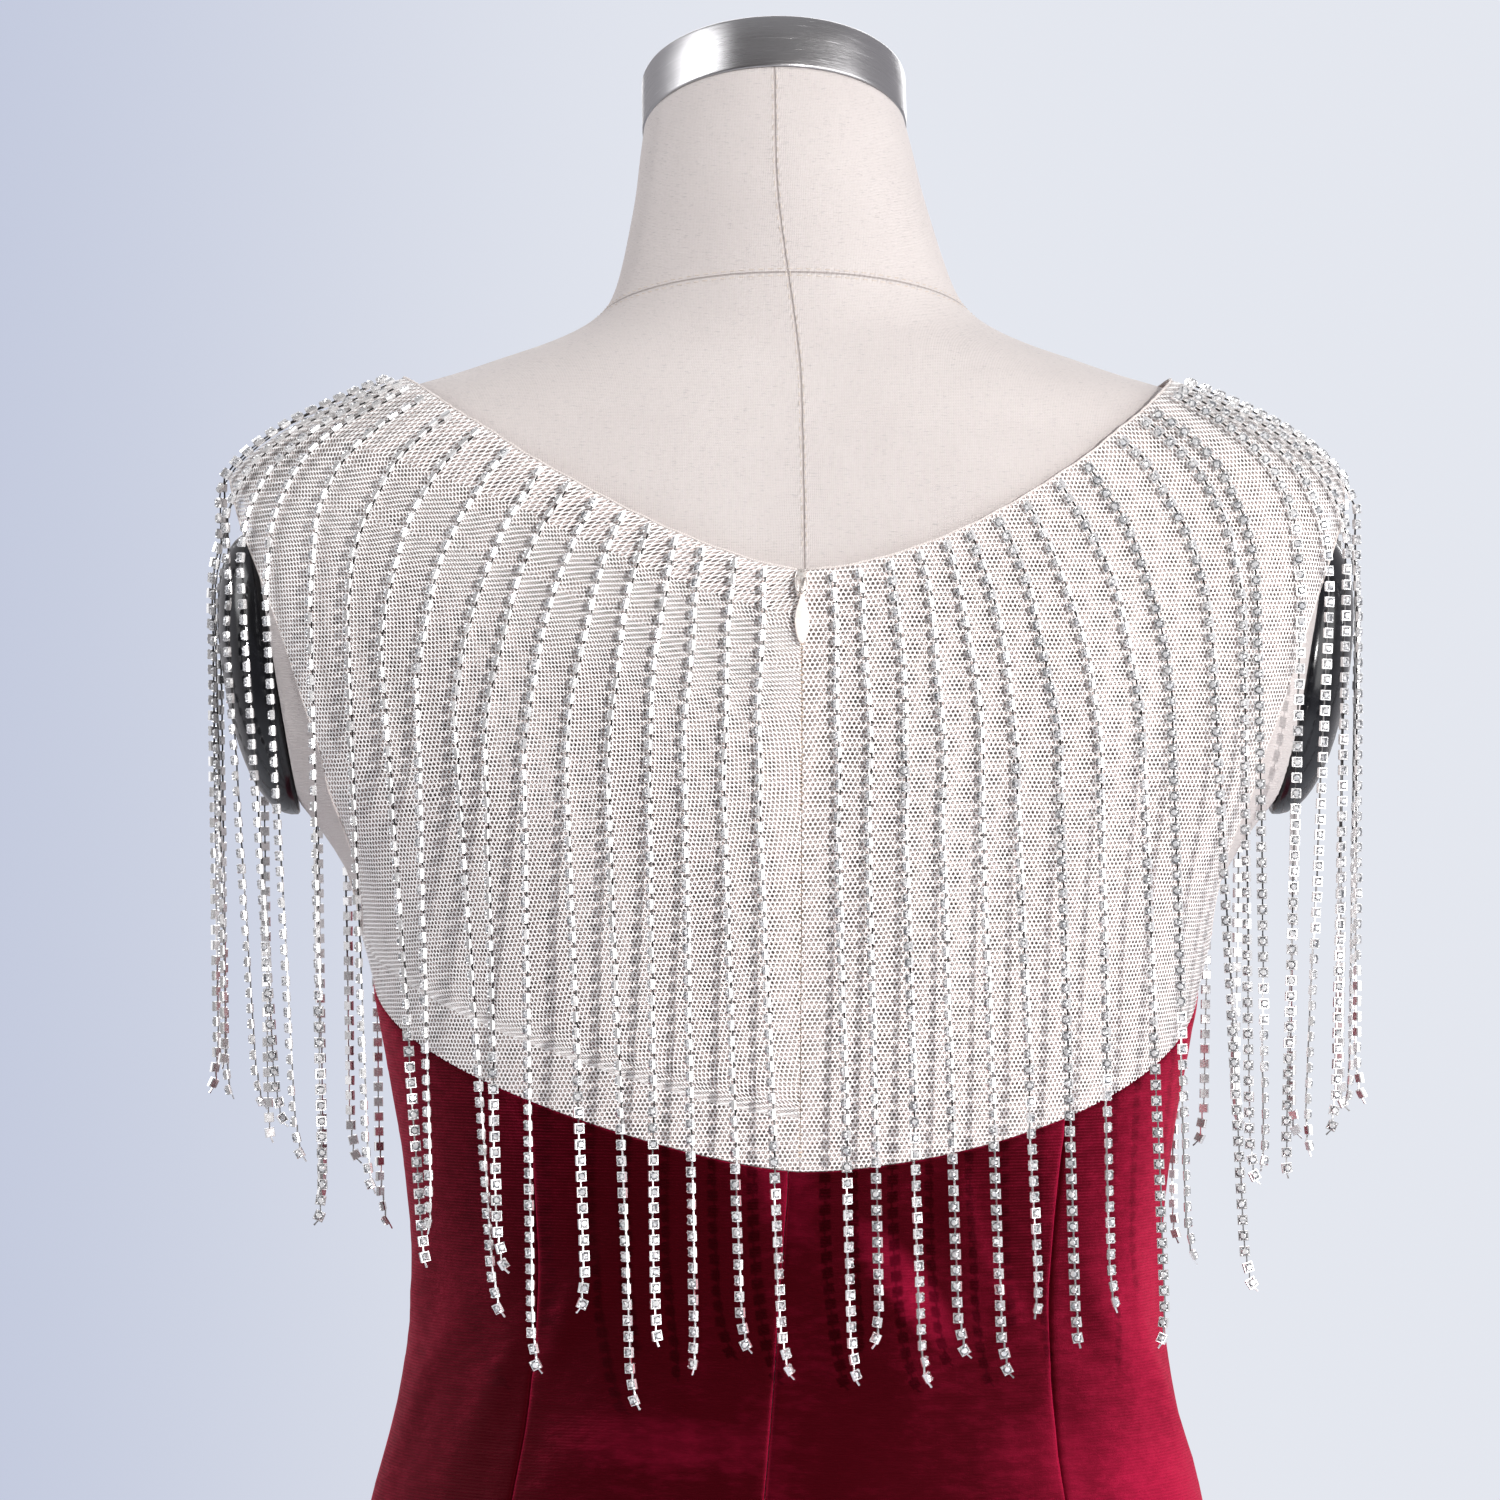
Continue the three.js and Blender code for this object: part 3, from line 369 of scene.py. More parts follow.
def binding_finish():
    f = Finish("rolled net edge")
    x, y, z = f.place()
    twist = (x + y + z).stripes(0.9)
    fleck = f.noise(f.vector(x, y, z), 1.8, 2)
    return f.surface(Base_Color=f.mixed(twist * 0.6 + fleck * 0.4, (0.56, 0.48, 0.45), (0.86, 0.81, 0.78)),
                     Roughness=0.7, Sheen_Weight=0.2, Normal=f.bump(twist + fleck, 0.0002, 0.5))


def linen_finish():
    f = Finish("natural linen")
    u, v = f.cloth_place()
    x, y, z = f.place()
    uneven = f.noise(f.vector(u * 0.05, v * 0.05), 1.0, 2) * 1.4
    warp, weft = (u + uneven).wave(0.62), (v + uneven).wave(0.55)
    weave = warp * 0.5 + weft * 0.5
    weft_slub = f.noise(f.vector(u * 0.33, v * 2.4), 1.0, 2, 0.55)
    warp_slub = f.noise(f.vector(u * 2.6 + 40, v * 0.3), 1.0, 2, 0.55)
    dash = weft_slub.ramp(0.58, 0.72) * 0.5 + warp_slub.ramp(0.6, 0.76) * 0.3
    grain = f.noise(f.vector(u, v), 0.95, 2, 0.7)
    fleck = f.noise(f.vector(u, v * 1.6), 1.3, 2, 0.6).ramp(0.66, 0.8)
    cloudy = f.noise(f.vector(x * 0.02, y * 0.02, z * 0.02), 1.0, 3)
    ground = f.mixed(cloudy * 0.6 + grain * 0.4, (0.54, 0.495, 0.485), (0.74, 0.695, 0.675))
    ground = f.mixed((weave * 0.2 + 0.2).most(0.0), ground, (0.46, 0.385, 0.36))
    ground = f.mixed(dash.least(0.6), ground, (0.37, 0.345, 0.355))
    ground = f.mixed(fleck * 0.4, ground, (0.42, 0.35, 0.31))
    # the form's own seams: down the middle of the back and front, round the foot of the neck, over the shoulders
    middle = abs(x - z.ramp(*MIDDLE_SEAM))
    foot = abs(z - y * FOOT_SEAM["slope"] - FOOT_SEAM["height"])
    shoulder = abs(y - 2) + (z < 1392) * 50 + (z > 1431) * 50
    nearest = middle.least(foot).least(shoulder)
    line = nearest.ramp(0.12, 0.42, 1.0, 0.0)
    pucker = nearest.ramp(0.4, 3.4, 1.0, 0.0) * (z + y + x).stripes(2.6)
    colour = f.mixed(line * 0.6, ground, (0.26, 0.21, 0.19))
    height = weave * 0.5 + dash * 0.9 + fleck * 0.4 - line * 3.2 + pucker * 1.3
    return f.surface(Base_Color=colour, Roughness=0.86, Specular_IOR_Level=0.25, Sheen_Weight=0.2,
                     Sheen_Roughness=0.5, Normal=f.bump(height, 0.00022, 0.75))


def brushed_finish(name, tilt, dark, light):
    """Steel brushed round its own axis, which leans by this tilt."""
    f = Finish(name)
    x, y, z = f.place()
    level = z - y * tilt
    hair = f.noise(f.vector(x * 0.03, y * 0.03, level * 7), 1.0, 4, 0.75)
    scratch = f.noise(f.vector(x * 0.06 + 9, y * 0.06, level * 2.2), 1.0, 2, 0.6).ramp(0.6, 0.75)
    smudge = f.noise(f.vector(x * 0.02, y * 0.02, z * 0.02), 1.0, 3)
    return f.surface(
        Base_Color=f.mixed(hair * 0.7 + scratch * 0.5, dark, light), Metallic=1.0,
        Roughness=hair * 0.16 + smudge * 0.1 + 0.16, Normal=f.bump(hair + scratch * 0.6, 0.00008, 0.5))


def gloss_finish():
    f = Finish("black gloss plate")
    spot = f.spot()
    dust = f.noise(spot, 0.9, 3, 0.7).ramp(0.62, 0.82)
    handled = f.noise(spot, 0.05, 3)
    return f.surface(
        Base_Color=f.mixed(dust * 0.25, (0.008, 0.0085, 0.011), (0.07, 0.07, 0.078)),
        Roughness=handled * 0.12 + dust * 0.2 + 0.14, Specular_IOR_Level=0.3, Coat_Weight=0.25, Coat_Roughness=0.1,
        Normal=f.bump(f.noise(spot, 0.35, 2), 0.0002, 0.12))


def cup_finish():
    f = Finish("silver cup metal")
    spot = f.spot()
    worn = f.noise(spot, 0.8, 2)
    tarnish = f.noise(spot, 0.12, 2).ramp(0.5, 0.75)
    return f.surface(
        Base_Color=f.mixed(worn * 0.5 + tarnish * 0.3, (1.0, 1.0, 1.0), (0.74, 0.74, 0.75)), Metallic=0.75,
        Roughness=worn * 0.16 + 0.16, Normal=f.bump(worn, 0.0001, 0.3))


def bar_finish():
    """Link metal with painted light: painted shade where a chain lies on the net, and a painted highlight below,
    where it hangs over the velvet.
    """
    f = Finish("link metal with painted shade and highlight")
    x, y, z = f.place()
    worn = f.noise(f.vector(x, y, z), 0.7, 2)
    over_velvet = (z - x * x * 0.0026).ramp(1136, 1124)
    # the dark colour is painted shade on the net, the light one a painted highlight over the velvet
    dark = f.mixed(worn, (0.02, 0.02, 0.022), (0.16, 0.155, 0.155))
    painted_highlight = f.mixed(worn, (0.62, 0.62, 0.63), (0.95, 0.95, 0.95))
    return f.surface(Base_Color=f.mixed(over_velvet, dark, painted_highlight), Metallic=0.9, Roughness=worn * 0.12 + 0.1,
                     Normal=f.bump(worn, 0.0001, 0.2))


def stone_finish():
    """A cut stone with a silvered back, its glints painted: a noise paints each patch of it light or grey, and
    painted shade darkens it where it is seen edge on.
    """
    f = Finish("cut clear stone")
    painted_glint = f.noise(f.spot(), 0.55, 2, 0.7)
    aside = f.make("ShaderNodeLayerWeight", None, {"Blend": 0.5}, "Facing")
    # painted reflection: light and grey patches from the noise, then painted shade where the stone is seen edge on
    colour = f.mixed(painted_glint.ramp(0.36, 0.56), (0.74, 0.76, 0.79), (1.0, 1.0, 1.0))
    colour = f.mixed(aside.ramp(0.03, 0.30) * painted_glint.ramp(0.66, 0.44), colour, (0.15, 0.155, 0.17))
    return f.surface(Base_Color=colour, Metallic=0.45, Roughness=painted_glint * 0.08 + 0.03, Coat_Weight=1.0,
                     Coat_Roughness=0.02, Normal=f.bump(painted_glint, 0.0003, 0.25))


def enamel_finish():
    f = Finish("cream enamel")
    flow = f.noise(f.spot(), 0.4, 2)
    return f.surface(Base_Color=f.mixed(flow, (0.90, 0.80, 0.73), (0.96, 0.89, 0.84)), Coat_Weight=0.5,
                     Coat_Roughness=0.1, Roughness=flow * 0.12 + 0.22, Normal=f.bump(flow, 0.0003, 0.2))


def slider_finish():
    f = Finish("painted slider metal")
    rubbed = f.noise(f.spot(), 0.9, 3, 0.6)
    colour = f.mixed(rubbed.ramp(0.45, 0.62), (0.72, 0.66, 0.62), (0.90, 0.87, 0.84))
    return f.surface(Base_Color=colour, Metallic=0.7, Roughness=rubbed * 0.2 + 0.2,
                     Normal=f.bump(rubbed, 0.0001, 0.3))


def tape_finish():
    f = Finish("woven zip tape")
    u, v = f.cloth_place()
    twill, rib = (u + v * 1.6).stripes(1.1), u.stripes(0.7)
    fleck = f.noise(f.vector(u, v), 1.5, 2)
    colour = f.mixed(twill * 0.4 + rib * 0.2 + fleck * 0.4, (0.74, 0.66, 0.61), (0.93, 0.88, 0.84))
    return f.surface(Base_Color=colour, Roughness=0.75, Sheen_Weight=0.15,
                     Normal=f.bump(twill + rib * 0.5, 0.00015, 0.5))


def thread_finish(name, dark, light):
    f = Finish(name)
    x, y, z = f.place()
    ply = (x + y * 0.6 + z * 1.3).stripes(0.45)
    fuzz = f.noise(f.vector(x, y, z), 2.2, 2)
    return f.surface(Base_Color=f.mixed(ply * 0.6 + fuzz * 0.4, dark, light), Roughness=fuzz * 0.2 + 0.5,
                     Normal=f.bump(ply + fuzz, 0.0001, 0.5))


def floor_finish():
    f = Finish("studio floor")
    x, y, z = f.place()
    faint = f.noise(f.vector(x, y, z), 0.004, 3)
    away = f.make("ShaderNodeVectorMath", {"operation": "LENGTH"}, (f.vector(x, y),), "Value")
    return f.surface(Base_Color=f.mixed(faint, (0.60, 0.62, 0.67), (0.66, 0.68, 0.72)), Roughness=0.7,
                     Alpha=away.ramp(2200, 5600, 1.0, 0.0))


VELVET = velvet_finish()
OUTER_NET = net_finish("outer net", 2.0, 1.7, 0.5, (1.0, 0.985, 0.975))
# the inner layer is the same net, painted darker and pinker: painted shade under the outer layer
INNER_NET = net_finish("inner net", -3.5, 1.5, 0.4, (0.74, 0.62, 0.59))
BINDING = binding_finish()
LINEN = linen_finish()
CAP_STEEL = brushed_finish("brushed cap steel", 0.4, (0.34, 0.33, 0.335), (0.58, 0.575, 0.585))
STAND_STEEL = brushed_finish("satin stand steel", 0.0, (0.42, 0.42, 0.43), (0.62, 0.62, 0.63))
GLOSS = gloss_finish()
CUP_METAL = cup_finish()
BAR_METAL = bar_finish()
STONE = stone_finish()
ENAMEL = enamel_finish()
SLIDER_METAL = slider_finish()
TAPE = tape_finish()
COIL = thread_finish("zip coil", (0.62, 0.47, 0.37), (0.82, 0.68, 0.57))
SEWING = thread_finish("form sewing thread", (0.50, 0.42, 0.36), (0.74, 0.66, 0.59))

# ---------------------------------------------------------------- meshes


def mesh_from(name, points, faces=()):
    """A mesh from points in millimetres."""
    mesh = bpy.data.meshes.new(name)
    mesh.from_pydata((np.asarray(points, float).reshape(-1, 3) * MM).tolist(), [], faces)
    return mesh


def linked(name, data):
    made = bpy.data.objects.new(name, data)
    bpy.context.scene.collection.objects.link(made)
    return made


def piece(name, points, faces, finish, mend=False, **more):
    """A piece from points in millimetres; mend merges its doubles and turns its faces outwards."""
    made = finished(name, mesh_from(name, points, faces), finish, **more)
    if mend:
        tidy_normals(made)
    return made


def finished(name, mesh, finish, body=GOWN, slot=None, stands_for=(), smooth=True, cloth_map=None):
    mesh.polygons.foreach_set("use_smooth", [smooth] * len(mesh.polygons))
    if cloth_map is not None:
        corners = np.empty(len(mesh.loops), int)
        mesh.loops.foreach_get("vertex_index", corners)
        layer = mesh.uv_layers.new(name="cloth")
        layer.data.foreach_set("uv", (cloth_map.reshape(-1, 2)[corners] * MM).ravel())
    mesh.materials.clear()
    mesh.materials.append(finish)
    mesh.update()
    made = linked(name, mesh)
    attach(made, body)
    if stands_for:
        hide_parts(*stands_for)
    return made


def wall_faces(rows, columns):
    """Faces of a closed wall: outer points first, then inner, each a grid of rows from the bottom up."""
    grid = np.arange(2 * rows * columns).reshape(2, rows, columns)
    out, inn = grid

    def quads(a, b, c, d):
        return np.stack([a.ravel(), b.ravel(), c.ravel(), d.ravel()], 1)

    sheets = [
        quads(out[:-1, :-1], out[:-1, 1:], out[1:, 1:], out[1:, :-1]),
        quads(inn[:-1, :-1], inn[1:, :-1], inn[1:, 1:], inn[:-1, 1:]),
        quads(out[:-1, 0], out[1:, 0], inn[1:, 0], inn[:-1, 0]),
        quads(out[1:, -1], out[:-1, -1], inn[:-1, -1], inn[1:, -1]),
        quads(out[0, :-1], inn[0, :-1], inn[0, 1:], out[0, 1:]),
        quads(out[-1, :-1], out[-1, 1:], inn[-1, 1:], inn[-1, :-1]),
    ]
    return np.concatenate(sheets).tolist()


def wall(name, angle, height, inner, outer, finish, middle=180.0, **more):
    """A closed sheet of cloth over a grid of angles and heights, with its map measured along the cloth."""
    angle, height, inner, outer = np.broadcast_arrays(angle, height, inner, outer)
    out_points, in_points = skin(angle, height, outer), skin(angle, height, inner)
    steps = np.linalg.norm(np.diff(out_points, axis=1), axis=-1)
    along = np.concatenate([np.zeros((len(angle), 1)), np.cumsum(steps, 1)], 1)
    start = (angle[:, :1] - middle) * per_degree(angle[:, :1], height[:, :1])
    cloth_map = np.stack([along + start, height], -1)
    made = piece(name, np.stack([out_points, in_points]), wall_faces(*angle.shape), finish,
                 cloth_map=np.stack([cloth_map, cloth_map]), **more)
    middle_points = (out_points + in_points) / 2
    a, b = middle_points[1:, 1:] - middle_points[:-1, :-1], middle_points[1:, :-1] - middle_points[:-1, 1:]
    area = np.linalg.norm(np.cross(a, b), axis=-1).sum() / 2 * MM * MM
    width = along[:, -1].max() * MM
    length = np.linalg.norm(np.diff(middle_points, axis=0), axis=-1).sum(0).max() * MM
    return made, (round(float(width), 3), round(float(length), 3)), round(float(area), 4)


def hung(made_cut):
    made, flat, area = made_cut
    min(area, flat[0] * flat[1])


def ringed(name, points, finish, **more):
    """A solid piece from rings of points."""
    return piece(name, points, rings(points), finish, **more)


def rings(points, close_ends=True):
    """Faces through rings of points, from the bottom up, each going round from the front by the wearer's left."""
    count, around = points.shape[:2]
    grid = np.arange(count * around).reshape(count, around)
    after = np.roll(grid, -1, axis=1)
    faces = np.stack([grid[:-1], after[:-1], after[1:], grid[1:]], -1).reshape(-1, 4).tolist()
    if close_ends:
        faces += [grid[0][::-1].tolist(), grid[-1].tolist()]
    return faces


def tube(name, path, radius, finish, closed=False, sides=8, **more):
    """A round cord of thread or wire along points."""
    path = np.asarray(path, float)
    ahead = np.roll(path, -1, axis=0) if closed else np.concatenate([path[1:], path[-1:]])
    behind = np.roll(path, 1, axis=0) if closed else np.concatenate([path[:1], path[:-1]])
    along = unit(ahead - behind)
    side = unit(np.cross(along, [0.13, 0.27, 0.95]))
    up = np.cross(side, along)
    turn = np.linspace(0, FULL_TURN, sides, endpoint=False)
    radius = np.broadcast_to(radius, len(path))[:, None, None]
    points = (path[:, None] + radius * (np.cos(turn)[None, :, None] * side[:, None]
                                        + np.sin(turn)[None, :, None] * up[:, None]))
    faces = rings(points, not closed)
    if closed:
        last, first = np.arange(sides) + (len(path) - 1) * sides, np.arange(sides)
        faces += np.stack([last, np.roll(last, -1), np.roll(first, -1), first], 1).tolist()
    return piece(name, points, faces, finish, mend=True, **more)


def tidy_normals(made):
    work = bmesh.new()
    work.from_mesh(made.data)
    bmesh.ops.remove_doubles(work, verts=work.verts, dist=1e-7)
    bmesh.ops.recalc_face_normals(work, faces=work.faces)
    work.to_mesh(made.data)
    work.free()


# ---------------------------------------------------------------- small things set out along runs

def setting_out():
    """A geometry tree that puts one item on every point, turned to face as the point's own vectors say."""
    tree = bpy.data.node_groups.new("set out along runs", "GeometryNodeTree")
    for name, kind in (("Points", "Geometry"), ("Item", "Object"), ("Turn", "Float"), ("Tilt", "Float"),
                       ("Seed", "Int"), ("Finish", "Material")):
        tree.interface.new_socket(name, in_out="INPUT", socket_type=f"NodeSocket{kind}")
    tree.interface.new_socket("Made", in_out="OUTPUT", socket_type="NodeSocketGeometry")
    g = Nodes(tree)
    given = tree.nodes.new("NodeGroupInput")
    points, item, turn, tilt, seed, finish = [Link(g, socket) for socket in list(given.outputs)[:6]]
    facing, running = [g.make("GeometryNodeInputNamedAttribute", {"data_type": "FLOAT_VECTOR"}, {"Name": name})
                       for name in ("facing", "running")]
    stance = g.make("FunctionNodeAxesToRotation", {"primary_axis": "Z", "secondary_axis": "Y"}, (facing, running))
    low, high = g.vector(0 - tilt, 0 - tilt, 0 - turn), g.vector(tilt, tilt, turn)
    chance = g.make("FunctionNodeRandomValue", {"data_type": "FLOAT_VECTOR"}, {0: low, 1: high, "Seed": seed})
    jitter = g.make("FunctionNodeEulerToRotation", None, (chance,))
    stance = g.make("FunctionNodeRotateRotation", {"rotation_space": "LOCAL"}, (stance, jitter))
    shape = g.make("GeometryNodeObjectInfo", None, {"Object": item}, "Geometry")
    placed = g.make("GeometryNodeInstanceOnPoints", None, {"Points": points, "Instance": shape, "Rotation": stance})
    real = g.make("GeometryNodeRealizeInstances", None, (placed,))
    coated = g.make("GeometryNodeSetMaterial", None, {"Geometry": real, "Material": finish})
    g.join(coated, tree.nodes.new("NodeGroupOutput").inputs[0])
    return tree


SETTING_OUT = setting_out()


def item_mesh(name, points, faces):
    return linked(name, mesh_from(name, points, faces))


def set_out(name, item, points, facing, running, finish, turn=0.0, tilt=0.0, seed=1, **more):
    """One mesh of an item repeated at points in millimetres, with its z axis facing out and its y axis running on."""
    base = mesh_from(name + " points", points)
    for label, values in (("facing", facing), ("running", running)):
        layer = base.attributes.new(label, "FLOAT_VECTOR", "POINT")
        layer.data.foreach_set("vector", np.asarray(values, float).ravel())
    holder = linked(name + " points", base)
    modifier = holder.modifiers.new("set out", "NODES")
    modifier.node_group = SETTING_OUT
    chosen = {"Item": item, "Turn": turn, "Tilt": tilt, "Seed": seed, "Finish": finish}
    for socket in SETTING_OUT.interface.items_tree:
        if socket.in_out == "INPUT" and socket.name in chosen:
            modifier[socket.identifier] = chosen[socket.name]
    graph = bpy.context.evaluated_depsgraph_get()
    mesh = bpy.data.meshes.new_from_object(holder.evaluated_get(graph), depsgraph=graph)
    mesh.name = name
    holder.modifiers.remove(modifier)
    bpy.data.objects.remove(holder)
    for attribute in ("facing", "running"):
        if attribute in mesh.attributes:
            mesh.attributes.remove(mesh.attributes[attribute])
    return finished(name, mesh, finish, smooth=False, **more)


# ---------------------------------------------------------------- dress form and stand

def arm_cut_at(height):
    return ARM_CUT["x"] - ARM_CUT["lean"] * (ARM_CUT["height"] - height)


def build_form():
    heights = np.concatenate([np.arange(FORM_BOTTOM + 4, 1250, 7.0), np.arange(1250, 1440, 2.0),
                              np.arange(1440, NECK_TOP, 3.5), [NECK_TOP]])
    angles = np.arange(0, 360, 1.5)
    points = figure(angles[None], heights[:, None])
    flat = arm_cut_at(points[..., 2])
    points[..., 0] = np.clip(points[..., 0], -flat, flat)
    lowest = figure(angles, FORM_BOTTOM) * [FORM_TUCK, FORM_TUCK, 1]
    edge = figure(angles, FORM_BOTTOM) * [0.985, 0.985, 1] + [0, 0, 1.2]
    points = np.concatenate([lowest[None], edge[None], points])
    steps = np.linalg.norm(np.roll(points, -1, 1) - points, axis=-1)
    across = np.cumsum(steps, 1) - np.cumsum(steps, 1)[:, 119:120]
    ringed("linen_form", points, LINEN, slot="linen", stands_for=["form_torso"],
           cloth_map=np.stack([across, points[..., 2]], -1))


def build_neck_cap():
    _, _, _, middle, _, slope, _ = levels_at(np.array(NECK_TOP))
    axis = unit(np.array([0, -slope, 1.0]))
    centre = np.array([float(lean_at(NECK_TOP)), middle, NECK_TOP])
    rim = figure(np.arange(0, 360, 2.5), NECK_TOP)
    arms = unit(rim - centre)
    profile = [(0.3, -4.0), (0.3, 0.0), (0.7, 0.42), (1.3, 0.5), (6.0, 0.5), (12.0, 0.5), (19.5, 0.5), (20.2, 0.25),
               (20.7, -0.25), (21.0, -1.0), (21.0, -6.0), (21.05, -22.0)]
    points = np.stack([rim + arms * grow + axis * rise for rise, grow in profile])
    ringed("neck_band", points, CAP_STEEL, slot="neck_cap", stands_for=["neck_cap"])


def build_arm_plate(name, side):
    turn = np.linspace(0, FULL_TURN, 64, endpoint=False)
    bluntness = ARM_PLATE["bluntness"]
    shares = np.concatenate([[1.0, 1.0], np.cos(np.linspace(0.02, np.pi / 2, 16)[1:])])
    rises = (1 - np.minimum(shares, 1) ** bluntness) ** (1 / bluntness)
    rises[:2] = 0, 0.04
    shares[0] = 0.985
    out = unit(np.array([1, 0, -ARM_CUT["lean"]]))
    up = np.array([ARM_CUT["lean"], 0, 1.0]) / math.hypot(ARM_CUT["lean"], 1)
    seat = np.array([arm_cut_at(ARM_PLATE["height"]), 0, ARM_PLATE["height"]]) + out * SEAM_GAP
    points = (seat + out * (rises * ARM_PLATE["dome"])[:, None, None]
              + np.array([0, 1, 0]) * (np.outer(shares, np.cos(turn)) * ARM_PLATE["deep"] / 2)[..., None]
              + up * (np.outer(shares, np.sin(turn)) * ARM_PLATE["tall"] / 2)[..., None])
    points[-1] = points[-1].mean(0) + (points[-1] - points[-1].mean(0)) * 0.001
    ringed(name + "_gloss", points * [side, 1, 1], GLOSS, mend=True, slot="arm_plate", stands_for=[name])


def turned(name, profile, around, stands_for):
    """A turned piece of the stand, from radii and heights."""
    turn = np.linspace(0, FULL_TURN, around, endpoint=False)
    profile = np.asarray(profile, float)
    points = np.stack([np.outer(profile[:, 0], np.sin(turn)), np.outer(profile[:, 0], -np.cos(turn)),
                       np.repeat(profile[:, 1:], around, 1)], -1)
    ringed(name, points, STAND_STEEL, slot="stand", stands_for=[stands_for])


def build_stand():
    turned("stand_column", [(14.5, 38.3), (16, 39.5), (16, 120), (16, 400), (16, 640), (16, 798.5), (14.5, 799.7)],
           64, "stand_pole")
    turned("stand_foot", [
        (170, 0), (174.2, 0.3), (175, 1.2), (175, 6.0), (174.6, 7.4), (173.4, 8.6), (172, 9.0), (120, 9.0),
        (44, 9.0), (40, 9.4), (37.5, 10.6), (35.6, 13.0), (34, 18), (30, 29), (27.2, 36.5), (26.4, 37.6), (25, 38),
        (16.5, 38)], 96, "stand_base")


# ---------------------------------------------------------------- velvet

# soft creases: angle, height, length, width, lean of the crease from upright, and how far it stands out
CREASES = [
    (153, 1098, 34, 7, 48, 1.5), (160, 1084, 26, 5, 52, 0.9), (168, 1052, 30, 6, 66, 1.3),
    (196, 1052, 34, 6, -62, 1.2), (204.5, 1100, 34, 6, -27, 2.4), (215, 1068, 30, 6, -50, 1.0),
    (186, 1030, 26, 5, -72, 1.1), (172, 1018, 28, 5, 74, 1.1), (150, 1030, 40, 8, 62, 1.4),
    (136, 1062, 40, 8, 40, 1.3), (226, 1034, 42, 8, -60, 1.4), (232, 1074, 34, 8, -34, 1.2),
    (110, 1050, 44, 9, 30, 1.4), (250, 1046, 44, 9, -30, 1.4), (92, 1078, 34, 8, 70, 1.2),
    (268, 1080, 34, 8, -70, 1.2), (70, 1060, 42, 9, -28, 1.4), (290, 1062, 42, 9, 28, 1.4),
    (40, 1066, 44, 8, -58, 1.3), (322, 1064, 44, 8, 56, 1.3), (14, 1052, 38, 7, -72, 1.2),
    (346, 1056, 38, 7, 70, 1.2), (120, 800, 90, 14, 34, 2.0), (240, 796, 90, 14, -34, 2.0),
    (160, 760, 80, 13, 58, 2.0), (200, 752, 80, 13, -56, 2.0), (60, 790, 84, 14, -40, 2.0),
    (300, 786, 84, 14, 40, 2.0), (20, 700, 70, 12, -64, 2.0), (340, 694, 70, 12, 62, 2.0),
    (180, 560, 60, 12, 84, 2.2), (0, 560, 60, 12, 86, 2.2), (90, 600, 70, 13, 58, 2.2),
    (270, 604, 70, 13, -58, 2.2), (140, 520, 70, 12, -40, 2.2), (220, 516, 70, 12, 42, 2.2),
    (46, 528, 64, 12, 44, 2.2), (314, 520, 64, 12, -44, 2.2),
]


def creases_at(angle, height):
    """How far the velvet stands out at its soft creases, each a ridge beside a shallow hollow."""
    height = np.asarray(height, float)
    made = np.zeros(np.broadcast(angle, height).shape)
    for turn, level, long, wide, lean, out in CREASES:
        away = np.mod(angle - turn + 180, 360) - 180
        across = away * float(per_degree(np.array(float(turn)), np.array(float(level))))
        up = height - level
        c, s = math.cos(math.radians(lean)), math.sin(math.radians(lean))
        over, along = across * c - up * s, across * s + up * c
        bend = over - along**2 / (5 * long)
        made += out * np.exp(-((along / long) ** 2)) * (np.exp(-((bend / wide) ** 2))
                                                        - 0.35 * np.exp(-(((bend - 1.9 * wide) / (1.1 * wide)) ** 2)))
    slow = (np.sin(np.radians(angle * 7) + height * 0.021) + np.sin(np.radians(angle * 11) - height * 0.034)) * 0.22
    return made + slow


def seam_columns(width, count, near=(0.0, 0.5, 1.2, 2.4, 4.5)):
    """Shares across a panel, close together at both seams."""
    near = np.array(near)
    width = np.asarray(width, float)[..., None]
    inner = np.linspace(0, 1, count - 2 * len(near) + 2)[1:-1]
    left = near / width
    middle = left[..., -1:] + (1 - 2 * left[..., -1:]) * inner
    return np.concatenate([left, middle, 1 - left[..., ::-1]], -1)


def princess(part, height):
    top, hem = PRINCESS[part]
    return mix(hem, top, np.clip((height - 900) / 220, 0, 1))


def centre_back(height):
    return 180 - mix(BACK_SEAM["hip"], BACK_SEAM["top"], np.clip((height - 1003) / 118, 0, 1))


def panel_edge(angle):
    return top_edge(angle) - EDGE_GAP / 2


def row_height(angle, fixed, share):
    """A row's height: its own, or in the bodice a share of the way up to the top edge."""
    return np.full(np.shape(angle), float(fixed)) if share is None else mix(float(BODICE), panel_edge(angle), share)


